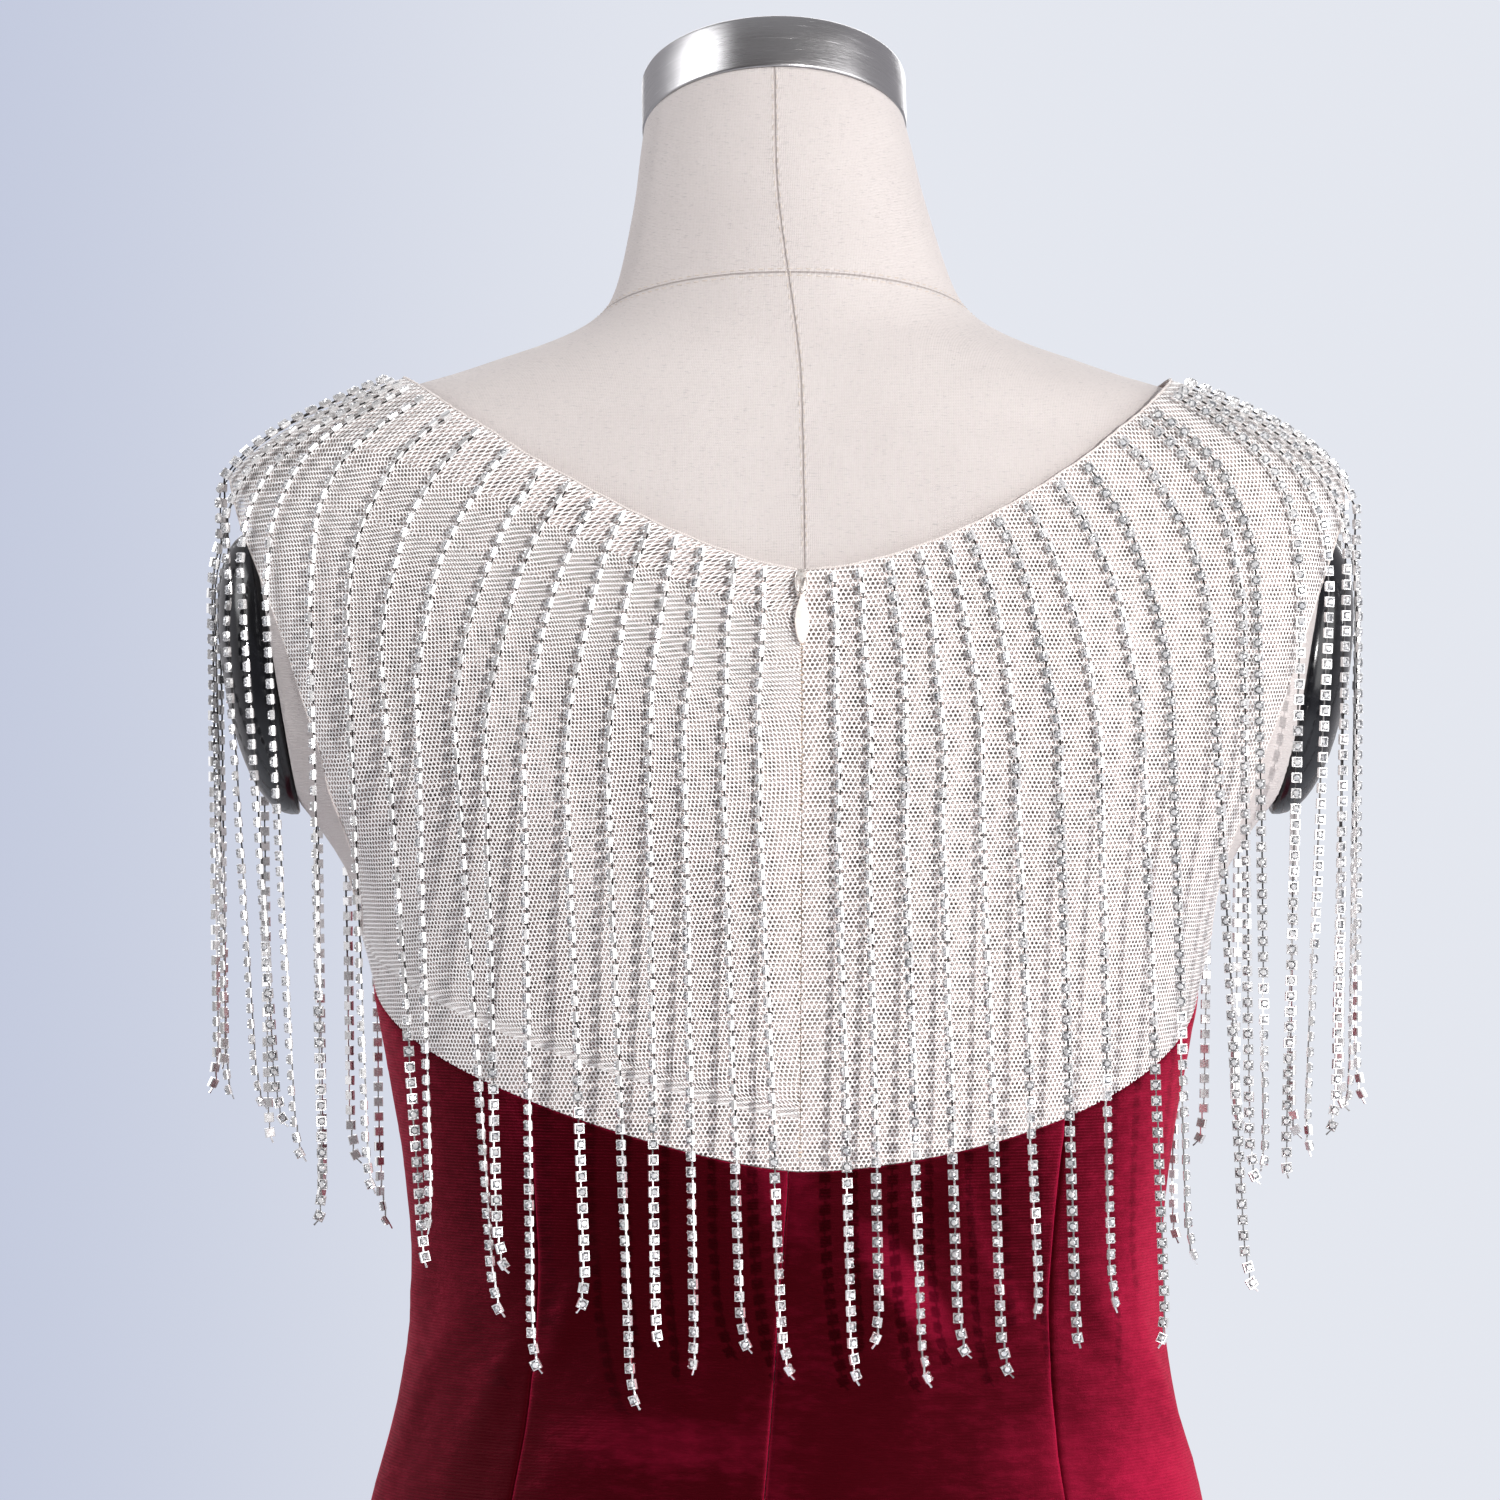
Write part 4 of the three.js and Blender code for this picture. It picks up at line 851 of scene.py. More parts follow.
def build_panel(node, seam_from, seam_to, count):
    """One velvet panel between two seams, each a function of height that gives its angle."""
    start, end = float(seam_from(1100)), float(seam_to(1100))
    tall = float(panel_edge(np.linspace(start, end, 30)).max() - BODICE)
    heights = [HEM, 12.6, 13.6, 16, *np.arange(22, 44, 4.0), 45.0, 46.2, 47.4, 49, *np.arange(56, BODICE, 9.0)]
    shares = [*np.linspace(0, 1, int(tall / 6) + 2)[:-1], *(1 - np.array([2.6, 1.2, 0.5, 0.0]) / 90)]
    angles, levels = [], []
    for row in [(height, None) for height in heights] + [(None, share) for share in shares]:
        guess = row_height(mix(start, end, np.linspace(0, 1, count)), *row)
        left = shifted(seam_from(guess), guess, SEAM_GAP / 2)
        right = shifted(seam_to(guess), guess, -SEAM_GAP / 2)
        wide = float(((right - left) * per_degree((left + right) / 2, guess)).mean())
        angles.append(left + (right - left) * seam_columns(wide, count))
        levels.append(row_height(angles[-1], *row))
    angle, height = np.array(angles), np.array(levels)
    scale = per_degree(angle, height)
    beside = np.minimum(angle - angle[:, :1], angle[:, -1:] - angle) * scale
    above = height - HEM
    below = panel_edge(angle) - height
    hem_turn = 0.9 * np.exp(-(((height - 46) / 1.4) ** 2))
    creased = creases_at(angle, height) * ease(0, 14, beside) * ease(0, 30, above) * ease(0, 10, below)
    creased = np.minimum(np.maximum(creased, -0.3), np.where(height > 1060, 1.9, 3.0))
    pucker = 0.22 * np.sin(height * 0.9 + angle) * np.exp(-beside / 4) * ease(0, 30, above)
    roll = 0.9 * np.exp(-beside / 0.5) + 0.5 * np.exp(-above / 0.9) + 0.75 * np.exp(-np.maximum(below, 0) / 0.7)
    fold = 0.35 * (1 - ease(5, 9, below))
    outer = 2.75 + fold + creased + pucker - np.minimum(roll, 1.2) - hem_turn
    inner = np.minimum(1.15 + np.maximum(creased, 0), outer - 0.35)
    return wall("velvet_" + node, angle, height, inner, outer, VELVET, middle=(start + end) / 2, slot="velvet",
                stands_for=[node])


def back_left_seam(height):
    return 180 - princess("back_left", height)


def back_right_seam(height):
    return 180 + princess("back_right", height)


def upright(angle):
    """A seam at one angle all the way down."""
    def seam(height):
        return 0 * height + float(angle)
    return seam


def build_velvet():
    front = PRINCESS["front"][0]
    for cut in [
        ("front_center", upright(-front), upright(front), 76),
        ("side_front_left", upright(front), upright(90), 60),
        ("side_back_left", upright(90), back_left_seam, 54),
        ("back_left", back_left_seam, centre_back, 56),
        ("back_right", centre_back, back_right_seam, 56),
        ("side_back_right", back_right_seam, upright(270), 54),
        ("side_front_right", upright(270), upright(360 - front), 60),
    ]:
        hung(build_panel(*cut))


# ---------------------------------------------------------------- net yoke

def rounded(across, bluntness):
    """The rise of a blunt arch at a share of its half width."""
    return np.maximum(1 - across ** bluntness, 0) ** (1 / bluntness)


def armhole_reach(share):
    """How many degrees the armhole reaches from the side, at a share of the way from velvet to neckline."""
    across = np.abs(share - ARMHOLE["middle"]) / ARMHOLE["half"]
    narrowed = 1 - ARMHOLE["taper"] * np.maximum(0, ARMHOLE["middle"] - share)
    return ARMHOLE["reach"] * narrowed * rounded(across, ARMHOLE["bluntness"])


def yoke_grid(start, end, start_is_side, end_is_side, step):
    """The angles and heights of a net piece, and how far its armholes' edges draw in towards the form."""
    close = np.array([0, 0.0005, 0.002, 0.006])
    spread = np.concatenate([close, np.linspace(0, 1, int((end - start) / step) + 1)[1:-1], 1 - close[::-1]])
    notch = ARMHOLE["middle"] - ARMHOLE["half"] * np.cos(np.linspace(0, np.pi, 33))
    shares = np.array([0, 0.002, 0.006, 0.03, 0.06, *notch, 0.86, 0.875, 0.9, 0.925, 0.95, 0.975, 0.99, 0.996, 1])
    reach = armhole_reach(shares)
    left = shifted(start + reach * start_is_side, 1300.0, SEAM_GAP / 2)
    right = shifted(end - reach * end_is_side, 1300.0, -SEAM_GAP / 2)
    angle = mix(left[:, None], right[:, None], spread[None])
    # an edge that isn't an armhole's counts as far away
    far = 9
    from_edge = np.minimum(spread + far * (1 - start_is_side), 1 - spread + far * (1 - end_is_side)) * (end - start)
    drawn_in = 1.5 * (reach / ARMHOLE["reach"])[:, None] * np.exp(-((from_edge / 6) ** 2))
    return angle, net_height(angle, shares[:, None]), shares, drawn_in


def net_height(angle, share):
    """A share of the way up the net, from the velvet's top edge to the neckline."""
    return mix(top_edge(angle) + EDGE_GAP / 2, neckline(angle), share)


NET_THICK = 0.16
EDGE = {"radius": 0.42, "out": 3.7, "below": 0.2}
# from and to which angle, and whether each of the two is an armhole's side
YOKES = {"yoke_front": (-90, 90, 1, 1), "yoke_back_left": (90, 180, 1, 0), "yoke_back_right": (180, 270, 0, 1)}


def build_yoke():
    for node, spec in YOKES.items():
        angle, height, shares, drawn_in = yoke_grid(*spec, 1.5)
        settle, free = (1 - ease(0, 0.09, shares))[:, None], np.sin(shares * np.pi)[:, None]
        sag = 0.28 * np.sin(np.radians(angle * 9) + height * 0.03) * free
        folds = 0.34 * np.sin(np.radians(angle * 17) + 1.3 * np.sin(height * 0.02)) * free
        middle = 0 if node == "yoke_front" else 180
        outer = 3.75 - 0.95 * settle + sag - drawn_in
        inner = 3.15 - 0.7 * settle + np.minimum(folds + sag, 0.25) - drawn_in
        for layer, out, finish, stands_for in (("over", outer, OUTER_NET, [node]), ("under", inner, INNER_NET, [])):
            net = wall(f"net_{layer}_{node}", angle, height, out - NET_THICK, out, finish, middle, slot="net",
                       stands_for=stands_for)
            hung(net)


def neck_edge(angle):
    return skin(angle, neckline(angle) - EDGE["below"], EDGE["out"])


def build_bindings():
    """Rolled edges: round the neckline and round the armholes."""
    for side, hand in ((1, "left"), (-1, "right")):
        turn = np.linspace(0.3, 90, 80)
        behind = 180 + side * -turn
        wave = 0.16 * np.sin(np.arange(len(turn)) * 1.7)[:, None] * [0, 0, 1]
        tube(f"neck_edge_back_{hand}", neck_edge(behind) + wave, EDGE["radius"], BINDING, slot="net")
        share = ARMHOLE["middle"] - ARMHOLE["half"] * np.cos(np.linspace(0, np.pi, 40))
        reach = armhole_reach(share)
        loop = []
        for back in (True, False):
            angle = side * (90 + reach * (1 if back else -1))
            line = skin(angle, net_height(angle, share), 3.6 - 1.5 * reach / ARMHOLE["reach"])
            loop.append(line if back else line[::-1][1:-1])
        tube(f"armhole_edge_{hand}", np.concatenate(loop), EDGE["radius"], BINDING, closed=True, slot="net")
    tube("neck_edge_front", neck_edge(np.linspace(-90, 90, 140)), EDGE["radius"], BINDING, slot="net")


# ---------------------------------------------------------------- zip

SLIDER = {"height": 1330.2, "lift": 0.35, "thick": 2.0}
BAR = {"out": 4.3, "below": 3.2}


def on_slider(points):
    """Points measured across, out and up from where the slider sits on the net."""
    _, y, z = outward(180.0, SLIDER["height"])
    lean = math.atan2(z, y)
    directions = [[1, 0, 0], [0, math.cos(lean), math.sin(lean)], [0, -math.sin(lean), math.cos(lean)]]
    return skin(180.0, SLIDER["height"], 3.8) + np.asarray(points) @ np.array(directions)


def lozenge(outline, low, high, bevel, steps=3):
    """Rings of a plate with rounded edges: an outline of (x, z) pairs between two depths."""
    outline = np.asarray(outline, float)
    centre = outline.mean(0)
    inward = unit(centre - outline)
    levels = [(low + bevel * (1 - math.cos(a)), bevel * (1 - math.sin(a)))
              for a in np.linspace(0, math.pi / 2, steps + 1)]
    levels += [(high - (d - low), inset) for d, inset in levels[::-1]]
    return np.stack([np.stack([outline[:, 0] + inward[:, 0] * inset, np.full(len(outline), depth),
                               outline[:, 1] + inward[:, 1] * inset], 1) for depth, inset in levels])


def build_zip():
    bottom, top = float(top_edge(np.array(172.5))) + EDGE_GAP, NECKLINE["back"] - 1
    levels = np.linspace(bottom, top, 60)
    for side, hand in ((-1, "left"), (1, "right")):
        spans = np.array([0.15, 0.6, 1.4, 3, 5, 7, 9, 10.4, 11.0])
        angle = np.stack([shifted(180.0, levels, side * span) for span in (spans if side > 0 else spans[::-1])], 1)
        near = np.abs((angle - 180) * per_degree(angle, levels[:, None]))
        outer = 1.5 + 0.55 * np.exp(-(near / 1.4) ** 2) + 0.12 * np.sin(levels * 0.5)[:, None]
        hung(wall(f"tape_{hand}", angle, levels[:, None], outer - 0.8, outer, TAPE, slot="zip_tape",
                  stands_for=[f"zip_tape_{hand}"]))
    # coil: small loops side by side down the middle
    pitch = 1.3
    heights = np.arange(bottom + 2, top - 2, pitch)
    turn = np.linspace(0, FULL_TURN, 8, endpoint=False)
    ring = np.stack([0.75 * np.cos(turn), 0.42 * np.sin(turn), np.zeros(8)], 1)
    loop = np.stack([ring * [grow, grow, 1] + [0, 0, rise] for grow, rise in ((0.8, -0.35), (1.1, 0), (0.8, 0.35))])
    link = item_mesh("coil link", loop, rings(loop))
    behind = np.full(len(heights), 180.0)
    set_out("zip_coil", link, skin(behind, heights, 2.75), outward(behind, heights),
            np.tile([0, 0, 1.0], (len(heights), 1)), COIL, slot="zip_tape")
    bpy.data.objects.remove(link)
    build_slider()
    build_pull()


def build_slider():
    outline = []
    for a in np.linspace(0, FULL_TURN, 40, endpoint=False):
        x, z = math.sin(a), math.cos(a)
        reach = 1 / (abs(x) ** 2.6 + abs(z) ** 2.6) ** (1 / 2.6)
        outline.append((2.4 * x * reach * (1 - 0.12 * (z < 0) * -z), 5 * z * reach))
    body = lozenge(outline, SLIDER["lift"], SLIDER["lift"] + SLIDER["thick"], 0.55)
    ringed("slider_body", on_slider(body), SLIDER_METAL, mend=True, slot="zip_hard", stands_for=["zip_slider"])
    # two ears that hold the bar, each an arch over its end
    arch = [(2.0, 1.6), (3.6, 1.2), (4.8, 0.0), (5.3, -1.8), (5.25, -3.6), (4.6, -4.6), (3.2, -4.7), (2.1, -4.5)]
    for mark, x in (("left", -1.5), ("right", 1.5)):
        points = on_slider([(x, out, up) for out, up in arch])
        tube(f"slider_ear_{mark}", smoothed(points, 24), 0.42, SLIDER_METAL, slot="zip_hard")
    bar = on_slider([(x, BAR["out"], -BAR["below"]) for x in (-1.9, 0, 1.9)])
    tube("slider_bar", bar, 0.48, SLIDER_METAL, slot="zip_hard", sides=16)


def build_pull():
    """The drop-shaped pull on its ring, drawn hanging from the bar."""
    pivot = on_slider([0, BAR["out"], -BAR["below"]])
    turn = np.linspace(0, FULL_TURN, 28, endpoint=False)
    eye = pivot + np.stack([0 * turn, 1.2 * np.cos(turn), 1.2 * np.sin(turn)], 1)
    tube("pull_eye", eye, 0.36, SLIDER_METAL, closed=True, body=TAB, slot="zip_hard", sides=10)
    right = []
    for t in np.linspace(0, 1, 26):
        z = mix(-1.25, -18.5, t)
        wide = 0.75 + 1.8 * math.sin(math.pi * min(max((t - 0.06) / 0.98, 0), 1)) ** 1.15
        if z < -17.2:
            wide *= math.sqrt(max(1 - ((-17.2 - z) / 1.3) ** 2, 0))
        right.append((wide, z))
    right = [p for p in right if p[0] > 0.02] + [(0.0, -18.5)]
    outline = right + [(-x, z) for x, z in right[-2::-1]]
    ringed("pull_drop", pivot + lozenge(outline, -0.7, 0.7, 0.45), ENAMEL, mend=True, body=TAB, slot="zip_hard",
           stands_for=["zip_pull"])


def smoothed(points, count):
    """More points on a smooth curve through these."""
    points = np.asarray(points, float)
    padded = np.concatenate([[2 * points[0] - points[1]], points, [2 * points[-1] - points[-2]]])
    made = []
    for s in np.linspace(0, len(points) - 1 - 1e-9, count):
        i, t = int(s), s - int(s)
        a, b, c, d = padded[i:i + 4]
        made.append(0.5 * (2 * b + (c - a) * t + (2 * a - 5 * b + 4 * c - d) * t**2 + (3 * b - a - 3 * c + d) * t**3))
    return np.array(made)


# ---------------------------------------------------------------- fringe

CHAIN = {"wide": 3.4, "thick": 2.4, "lift": 6.4, "pitch": 5.5, "root_drop": 2}
# start angle, where the sewn part ends, and how far below the neckline that is
SEWN = np.array([(90, 88.5, 34), (98, 95, 36), (108, 104, 45), (118, 115, 56), (125, 125, 59), (133, 130, 64),
                 (140, 133.5, 71), (147, 138.5, 77), (153, 143, 82), (158, 148, 85), (163, 154.5, 90), (170, 166, 90),
                 (180, 180, 88)])
# the back's chains on each side, from the centre outwards: the start as a share of the neckline, the number of
# stones, and how far the chain leans towards the wearer's left in 100 mm
CHAINS = {
    1: [
        (0.066, 51, -4.7), (0.118, 50, -3.3), (0.176, 52, -1.9), (0.225, 51, -1.4), (0.275, 56, -3.9),
        (0.324, 51, -4.1), (0.378, 56, -1.4), (0.434, 51, -2.7), (0.489, 55, -6.7), (0.555, 51, -2.6),
        (0.62, 55, -7.2), (0.685, 52, -3.6), (0.758, 56, -2.4), (0.81, 54, -5.3), (0.842, 53, -6.7),
        (0.878, 53, -6.3), (0.924, 51, -2.7),
    ],
    -1: [
        (0.052, 51, -3), (0.099, 49, -2.4), (0.154, 52, -3.5), (0.21, 51, -3.3), (0.26, 53, -3.9),
        (0.303, 50, -4.7), (0.357, 53, -3), (0.414, 52, -2.4), (0.486, 56, -4.1), (0.539, 52, -3.3),
        (0.617, 56, -5.4), (0.679, 51, -1.3), (0.713, 51, -1.6), (0.79, 54, 2.9), (0.822, 54, 4.3),
        (0.858, 54, 2), (0.9, 53, 0.4),
    ],
}
FRONT_CHAINS = {"count": 16, "edge": 0.026, "lean": 1.3}
HANGING = {"steps": 66, "step": 5}
# to which side, and how much, the chains' last stones curl
CURLS = [-1.0, -0.7, 0.4, -1.2, 0.9, -0.3, -1.0]
# how far each chain's stones are turned aside where it lies on the net and where it hangs over the velvet, in degrees
ASIDE = [70, 76, 60, 72, 79, 66, 56, 76, 70, 46, 64, 74, 50, 30, 20, 14, 10]
OVER_VELVET = [38, -44, 40, 46, -36, 42, -40]


def surface_toward(points, lift):
    side = np.where(points[:, 0] < 0, -1.0, 1.0)
    middle = levels_at(points[:, 2])[3]
    target = np.arctan2(np.abs(points[:, 0]), middle - points[:, 1])
    low, high = np.zeros(len(points)), np.full(len(points), 180.0)
    for _ in range(16):
        turn = (low + high) / 2
        there = skin(turn, points[:, 2], lift)
        short = np.arctan2(there[:, 0], middle - there[:, 1]) < target
        low, high = np.where(short, turn, low), np.where(short, high, turn)
    return skin(side * low, points[:, 2], lift)


def pushed_clear(points):
    """Keeps hanging chains clear of the form, the cloth on it and the arm plates."""
    surface = surface_toward(points, CHAIN["lift"])
    middle = levels_at(points[:, 2])[3]
    inside = (np.hypot(points[:, 0], points[:, 1] - middle) < np.hypot(surface[:, 0], surface[:, 1] - middle))
    flat = arm_cut_at(points[:, 2])
    beside_arm = (points[:, 2] > ARM_CUT["bottom"]) & (np.abs(surface[:, 0]) > flat + CHAIN["lift"])
    on_body = (inside & ~beside_arm)[:, None] & np.array([True, True, False])
    points = np.where(on_body, surface, points)
    aside = np.maximum(0, np.abs(points[:, 1]) - CHAIN["wide"]) / (ARM_PLATE["deep"] / 2)
    across = np.hypot(aside, (points[:, 2] - ARM_PLATE["height"]) / (ARM_PLATE["tall"] / 2 + CHAIN["thick"]))
    dome = ARM_PLATE["dome"] * rounded(across, ARM_PLATE["bluntness"])
    needs = (beside_arm & inside) | (dome > 0)
    reach = flat + np.where(dome > 0, dome + CHAIN["thick"], CHAIN["lift"])
    points[:, 0] = np.where(needs, np.sign(points[:, 0]) * np.maximum(np.abs(points[:, 0]), reach), points[:, 0])
    return points


def chain_roots(shares, behind):
    samples = 180 - np.arange(181) / 2 if behind else np.arange(181) / 2
    edge = skin(samples, neckline(samples), 0.0)
    lengths = lengths_along(edge)
    return np.interp(np.asarray(shares) * lengths[-1], lengths, samples)


def chain_runs(behind, side):
    """The path of each chain on one side: points, the way it faces, and its number of stones."""
    shares, stones, leans = np.array(CHAINS[side]).T
    if not behind:
        edge, count = FRONT_CHAINS["edge"], FRONT_CHAINS["count"]
        shares, leans = np.linspace(edge, 1 - edge, count), np.full(count, -side * FRONT_CHAINS["lean"])
    turn = chain_roots(shares, behind)
    mirrored = turn if behind else 180 - turn
    end, drop = np.interp(mirrored, SEWN[:, 0], SEWN[:, 1]), np.interp(mirrored, SEWN[:, 0], SEWN[:, 2])
    end = end if behind else 180 - end
    t = np.linspace(0, 1, 29)[:, None]
    angle = side * mix(turn, end, t)
    top = neckline(side * turn) - CHAIN["root_drop"]
    height = top - (drop - CHAIN["root_drop"]) * t
    # sewn chains are never quite straight
    wander = np.sin(t * np.pi) * np.sin(t * 9 + np.arange(len(turn)) * 2.1) * 0.35
    sewn = skin(angle + wander / 2.2, height, CHAIN["lift"])
    facing = outward(angle, height)
    path, faces = list(sewn), list(facing)
    last = unit(facing[-1] * [1, 1, 0])
    for _ in range(HANGING["steps"]):
        following = path[-1].copy()
        following[:, 2] -= HANGING["step"]
        following[:, 0] += leans * HANGING["step"] / 100
        path.append(pushed_clear(following))
        faces.append(last)
    return np.stack(path, 1), np.stack(faces, 1), stones[:len(turn)].astype(int)


def lengths_along(points):
    return np.concatenate([[0], np.cumsum(np.linalg.norm(np.diff(points, axis=0), axis=-1))])


def squared(facing, running):
    """The facing direction, made square to the running one."""
    return unit(facing - running * (facing * running).sum(-1, keepdims=True))


def along_run(path, faces, distances):
    """Places at these distances along a run, the way they face, and the way back up the run."""
    steps = lengths_along(path)

    def pick(values, at):
        return np.stack([np.interp(at, steps, values[:, k]) for k in range(3)], -1)

    running = unit(pick(path, distances - 2) - pick(path, distances + 2))
    return pick(path, distances), squared(pick(faces, distances), running), running


def turned_aside(facing, running, degrees):
    a = np.radians(degrees)[:, None]
    return facing * np.cos(a) - np.cross(running, facing) * np.sin(a)


def chain_places(behind, side):
    """Places of the stones and of the bars between them, on all chains of one side."""
    paths, faces, stones = chain_runs(behind, side)
    cups, bars, tails = [], [], []
    for k, count in enumerate(stones):
        number = np.arange(count)
        away = (number + 0.45) * CHAIN["pitch"]
        points, facing, running = along_run(paths[k], faces[k], away)
        bars_at, bars_face, bars_run = along_run(paths[k], faces[k], away[:-1] + CHAIN["pitch"] / 2)
        wobble = 9 * np.sin(number * 0.55 + k * 1.9) + 6 * np.sin(number * 1.7 + k * 0.7)
        velvet_from = TOP_EDGE["back"] - 3.5 + 0.35 * np.abs(points[:, 0]) * (points[:, 1] > 0)
        on_net = ease(-14, 24, points[:, 2] - velvet_from)
        over = on_net if behind else 0.6 * on_net
        degrees = mix(OVER_VELVET[(k + side) % 7], ASIDE[k] * (1 if behind else side), over) + wobble
        # the last stones hang free and curl a little
        curl = ease(count - 4, count - 1, number.astype(float))
        hand = CURLS[(k * 3 + side + 2 * behind) % len(CURLS)]
        outwards = 0.6 if behind else -0.6
        points[:, 0] += hand * 1.6 * curl**2
        points[:, 1] += outwards * curl
        bars_at[:, 0] += hand * 1.6 * curl[1:] ** 2 * 0.7
        bars_at[:, 1] += outwards * curl[1:]
        running = unit(running + np.array([1.0, 0, 0]) * (-hand * 0.5 * curl**3)[:, None])
        facing = squared(turned_aside(facing, running, degrees + hand * 18 * curl), running)
        cups.append((points, facing, running))
        bars.append((bars_at, turned_aside(bars_face, bars_run, (degrees[1:] + degrees[:-1]) / 2), bars_run))
        # a last bar below the last stone
        bent = unit(running[-1:] + np.array([[-hand * 0.5, 0.2, 0]]))
        tails.append((points[-1:] - running[-1:] * 2.1, facing[-1:], bent))
    return joined(cups), joined(bars), joined(tails)


def joined(sets):
    """Several sets of places, facings and runnings made one."""
    return [np.concatenate(values) for values in zip(*sets)]


def cup_item():
    """A square cup with four claws folded over the stone: z faces out, y runs along the chain."""
    half, rim, low, high, floor = 1.74, 1.4, -1.1, 0.45, -0.5
    corners = np.array([(-1, -1), (1, -1), (1, 1), (-1, 1)], float)
    points, faces = [], []
    for size, z in ((half * 0.82, low), (half, low + 0.5), (half, high), (rim, high), (rim * 0.95, floor)):
        points += [(x * size, y * size, z) for x, y in corners]
    faces += rings(np.reshape(points, (5, 4, 3)), close_ends=False) + [(3, 2, 1, 0), (16, 17, 18, 19)]
    for x, y in corners:
        start = len(points)
        points += [(x * 1.62, y * 1.0, 0.3), (x * 1.0, y * 1.62, 0.3), (x * 1.66, y * 1.66, 0.3),
                   (x * 0.98, y * 0.78, 1.02), (x * 0.78, y * 0.98, 1.02), (x * 1.22, y * 1.22, 1.16)]
        flip = x * y > 0
        claw = [(0, 2, 5, 3), (2, 1, 4, 5), (1, 0, 3, 4), (3, 5, 4), (0, 1, 2)]
        faces += [tuple(start + i for i in (f if not flip else f[::-1])) for f in claw]
    return item_mesh("cup", points, faces)


def stone_item():
    """A round stone: a flat table, main and star facets, and a plain underside."""
    points = []
    for radius, z, shift in ((0.85, 1.16, 0), (1.12, 0.92, math.pi / 8), (1.4, 0.3, 0)):
        turns = [turn * math.pi / 4 + shift for turn in range(8)]
        points += [(radius * math.cos(turn), radius * math.sin(turn), z) for turn in turns]
    points.append((0, 0, -0.45))
    faces = [tuple(range(8))]
    for j in range(8):
        k = (j + 1) % 8
        faces += [(j, 8 + j, k), (8 + j, 16 + k, k), (8 + j, 16 + j, 16 + k), (j, 16 + j, 8 + j),
                  (16 + k, 16 + j, 24)]
    return item_mesh("stone", points, faces)


def bar_item():
    """The bar between two cups, a little waisted."""
    points, faces = [], []
    for y, wide in ((-1.75, 0.3), (0, 0.2), (1.75, 0.3)):
        points += [(-wide, y, -1.05), (wide, y, -1.05), (wide, y, -0.55), (-wide, y, -0.55)]
    for ring in range(2):
        for j in range(4):
            a, b = ring * 4 + j, ring * 4 + (j + 1) % 4
            faces.append((a, a + 4, b + 4, b))
    faces += [(0, 1, 2, 3), (11, 10, 9, 8)]
    return item_mesh("bar", points, faces)


def build_fringe():
    cup, stone, bar = cup_item(), stone_item(), bar_item()
    groups = {"fringe_back_left": [(True, 1)], "fringe_back_right": [(True, -1)],
              "fringe_front": [(False, 1), (False, -1)]}
    for seed, (node, sides) in enumerate(groups.items(), 3):
        cups, bars, tails = [joined(sets) for sets in zip(*[chain_places(*side) for side in sides])]
        set_out(f"cups_{node}", cup, *cups, CUP_METAL, tilt=0.05, seed=seed, slot="chain", stands_for=[node])
        set_out(f"stones_{node}", stone, *cups, STONE, turn=0.8, tilt=0.14, seed=seed + 10, slot="chain")
        set_out(f"bars_{node}", bar, *joined([bars, tails]), BAR_METAL, tilt=0.06, seed=seed + 20, slot="chain")
    for item in (cup, stone, bar):
        bpy.data.objects.remove(item)


# ---------------------------------------------------------------- stitches on the form

def build_stitches():
    """Small stitches beside the form's seams: down the back and front of the neck and round its foot."""
    dash = np.array([(-0.16, -0.95, 0), (0.16, -0.95, 0), (0.16, 0.95, 0), (-0.16, 0.95, 0),
                     (-0.1, -0.7, 0.2), (0.1, -0.7, 0.2), (0.1, 0.7, 0.2), (-0.1, 0.7, 0.2)])
    faces = [(3, 2, 1, 0), (4, 5, 6, 7), (0, 1, 5, 4), (1, 2, 6, 5), (2, 3, 7, 6), (3, 0, 4, 7)]
    item = item_mesh("stitch", dash, faces)
    sewn = []
    for centre in (180.0, 0.0):
        for side in (-0.8, 0.8):
            heights = np.arange(1345 if centre else 1365, 1494, 3.1)
            low, high, start, end = MIDDLE_SEAM
            seam = mix(start, end, ease(low, high, figure(centre, heights)[:, 2])) - lean_at(heights)
            angle = shifted(centre, heights, side - seam if centre else side + seam)
            up = unit(figure(angle, heights + 1) - figure(angle, heights - 1))
            sewn.append((skin(angle, heights, 0.02), outward(angle, heights), up))
    for offset in (-1.3, 1.3):
        angle = np.arange(0, 360, 3.2)
        height = np.full(len(angle), FOOT_SEAM["height"])
        for _ in range(20):
            point = figure(angle, height)
            height = height - (point[:, 2] - FOOT_SEAM["slope"] * point[:, 1] - FOOT_SEAM["height"] - offset)
        round_neck = unit(figure(angle + 0.5, height) - figure(angle - 0.5, height))
        sewn.append((skin(angle, height, 0.02), outward(angle, height), round_neck))
    set_out("form_stitches", item, *joined(sewn), SEWING, tilt=0.04, seed=5, slot="linen")
    bpy.data.objects.remove(item)


# ---------------------------------------------------------------- studio

def aimed(made, place, target):
    made.location = place
    made.rotation_euler = (Vector(target) - Vector(place)).to_track_quat("-Z", "Y").to_euler()


def build_camera():
    turn, distance, aim = math.radians(177.5), 2.4, Vector((0.0133, 0.0, 1.2736))
    lens = bpy.data.cameras.new("camera")
    lens.lens, lens.sensor_width, lens.clip_end = 36 * distance / 0.54, 36, 100
    camera = linked("camera", lens)
    back = Vector((math.sin(turn), -math.cos(turn), 0.0))
    aimed(camera, aim + back * distance, aim)
    bpy.context.scene.camera = camera


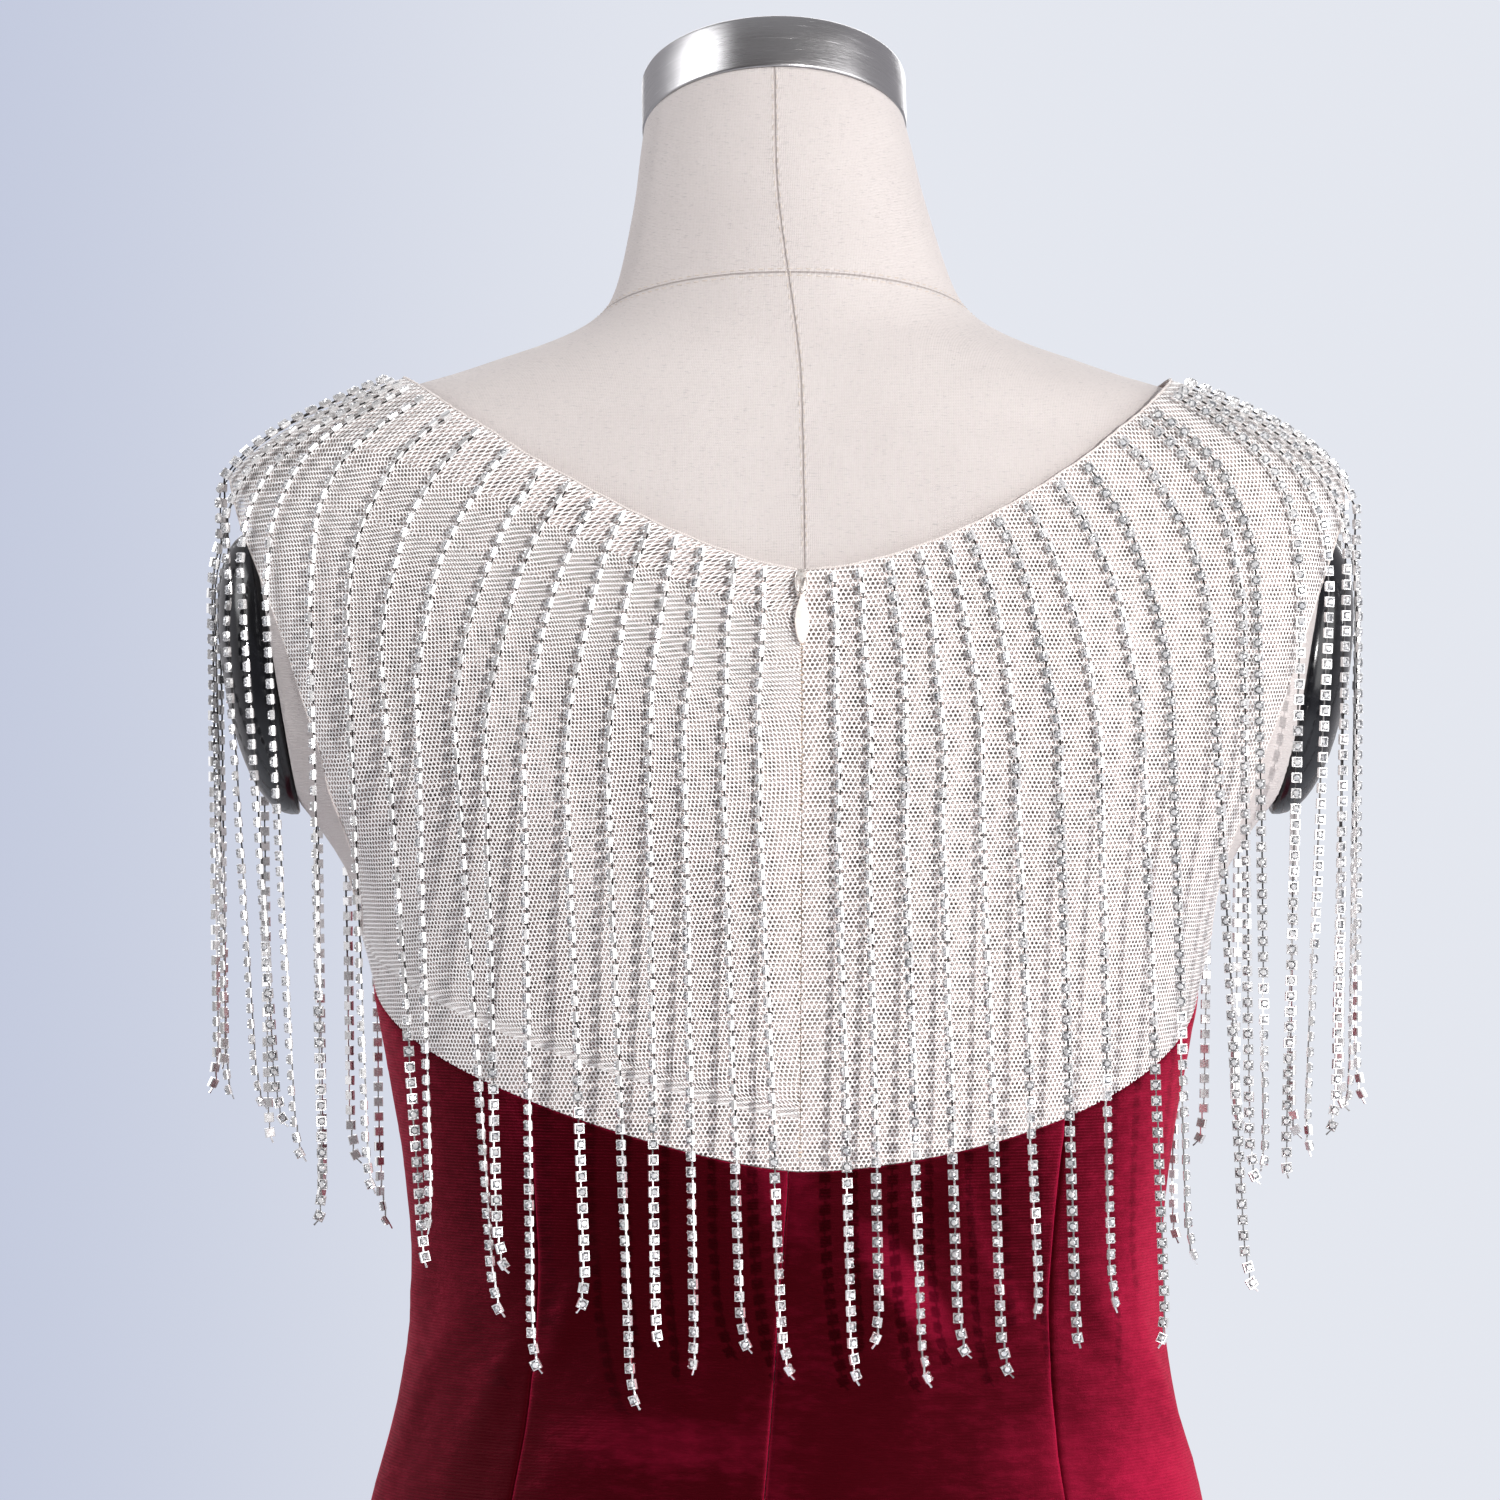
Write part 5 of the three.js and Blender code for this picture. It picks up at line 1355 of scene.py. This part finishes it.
def soft_light(name, azimuth, elevation, distance, power, width, height, colour=(1, 1, 1)):
    a, e = math.radians(azimuth), math.radians(elevation)
    target = Vector((0, 0, 1.2))
    place = target + distance * Vector((math.sin(a) * math.cos(e), -math.cos(a) * math.cos(e), math.sin(e)))
    data = bpy.data.lights.new(name, "AREA")
    data.shape, data.size, data.size_y, data.energy, data.color = "RECTANGLE", width, height, power, colour
    aimed(linked(name, data), place, target)


def build_studio():
    world = bpy.data.worlds.new("studio")
    bpy.context.scene.world = world
    world.use_nodes = True
    world.node_tree.nodes.clear()
    w = Nodes(world.node_tree)
    x, y, z = w.parts(w.make("ShaderNodeTexCoord", None, (), "Generated"))
    backdrop = w.mixed(x.ramp(-0.06, 0.1), (0.775, 0.80, 0.865), (0.53, 0.575, 0.72))
    # what the gown and the metal see: pale walls, darker behind the camera and low down
    behind = y.ramp(-0.3, 0.5)
    room = w.mixed(behind, (0.50, 0.49, 0.52), (0.14, 0.13, 0.13))
    room = w.mixed(z.ramp(0.55, 0.95), room, (0.46, 0.46, 0.48))
    seen = w.make("ShaderNodeLightPath", None, (), "Is Camera Ray")
    light = w.make("ShaderNodeBackground", None, (w.mixed(seen, room, backdrop), 1.0))
    w.join(light, world.node_tree.nodes.new("ShaderNodeOutputWorld").inputs[0])

    soft_light("key", 203, 13, 2.8, 56, 0.08, 0.08, (1.0, 0.985, 0.975))
    soft_light("right panel", 238, 12, 2.8, 56, 2.2, 2.2)
    soft_light("left panel", 96, 32, 2.8, 44, 1.8, 1.8, (0.98, 0.99, 1.0))
    soft_light("left side", 92, 2, 3.0, 5, 1.2, 1.8)
    soft_light("front wash", 352, 24, 3.2, 40, 2.0, 2.0)

    reach = 5800
    corners = [(-reach, -reach, 0), (reach, -reach, 0), (reach, reach, 0), (-reach, reach, 0)]
    floor = mesh_from("studio_floor", corners, [(0, 1, 2, 3)])
    floor.materials.append(floor_finish())
    linked("studio_floor", floor)
    bpy.context.scene.view_settings.view_transform = "Standard"


build_camera()
build_form()
build_neck_cap()
for node, side in (("arm_plate_left", 1), ("arm_plate_right", -1)):
    build_arm_plate(node, side)
build_stand()
build_velvet()
build_yoke()
build_bindings()
build_zip()
build_fringe()
build_stitches()
build_studio()
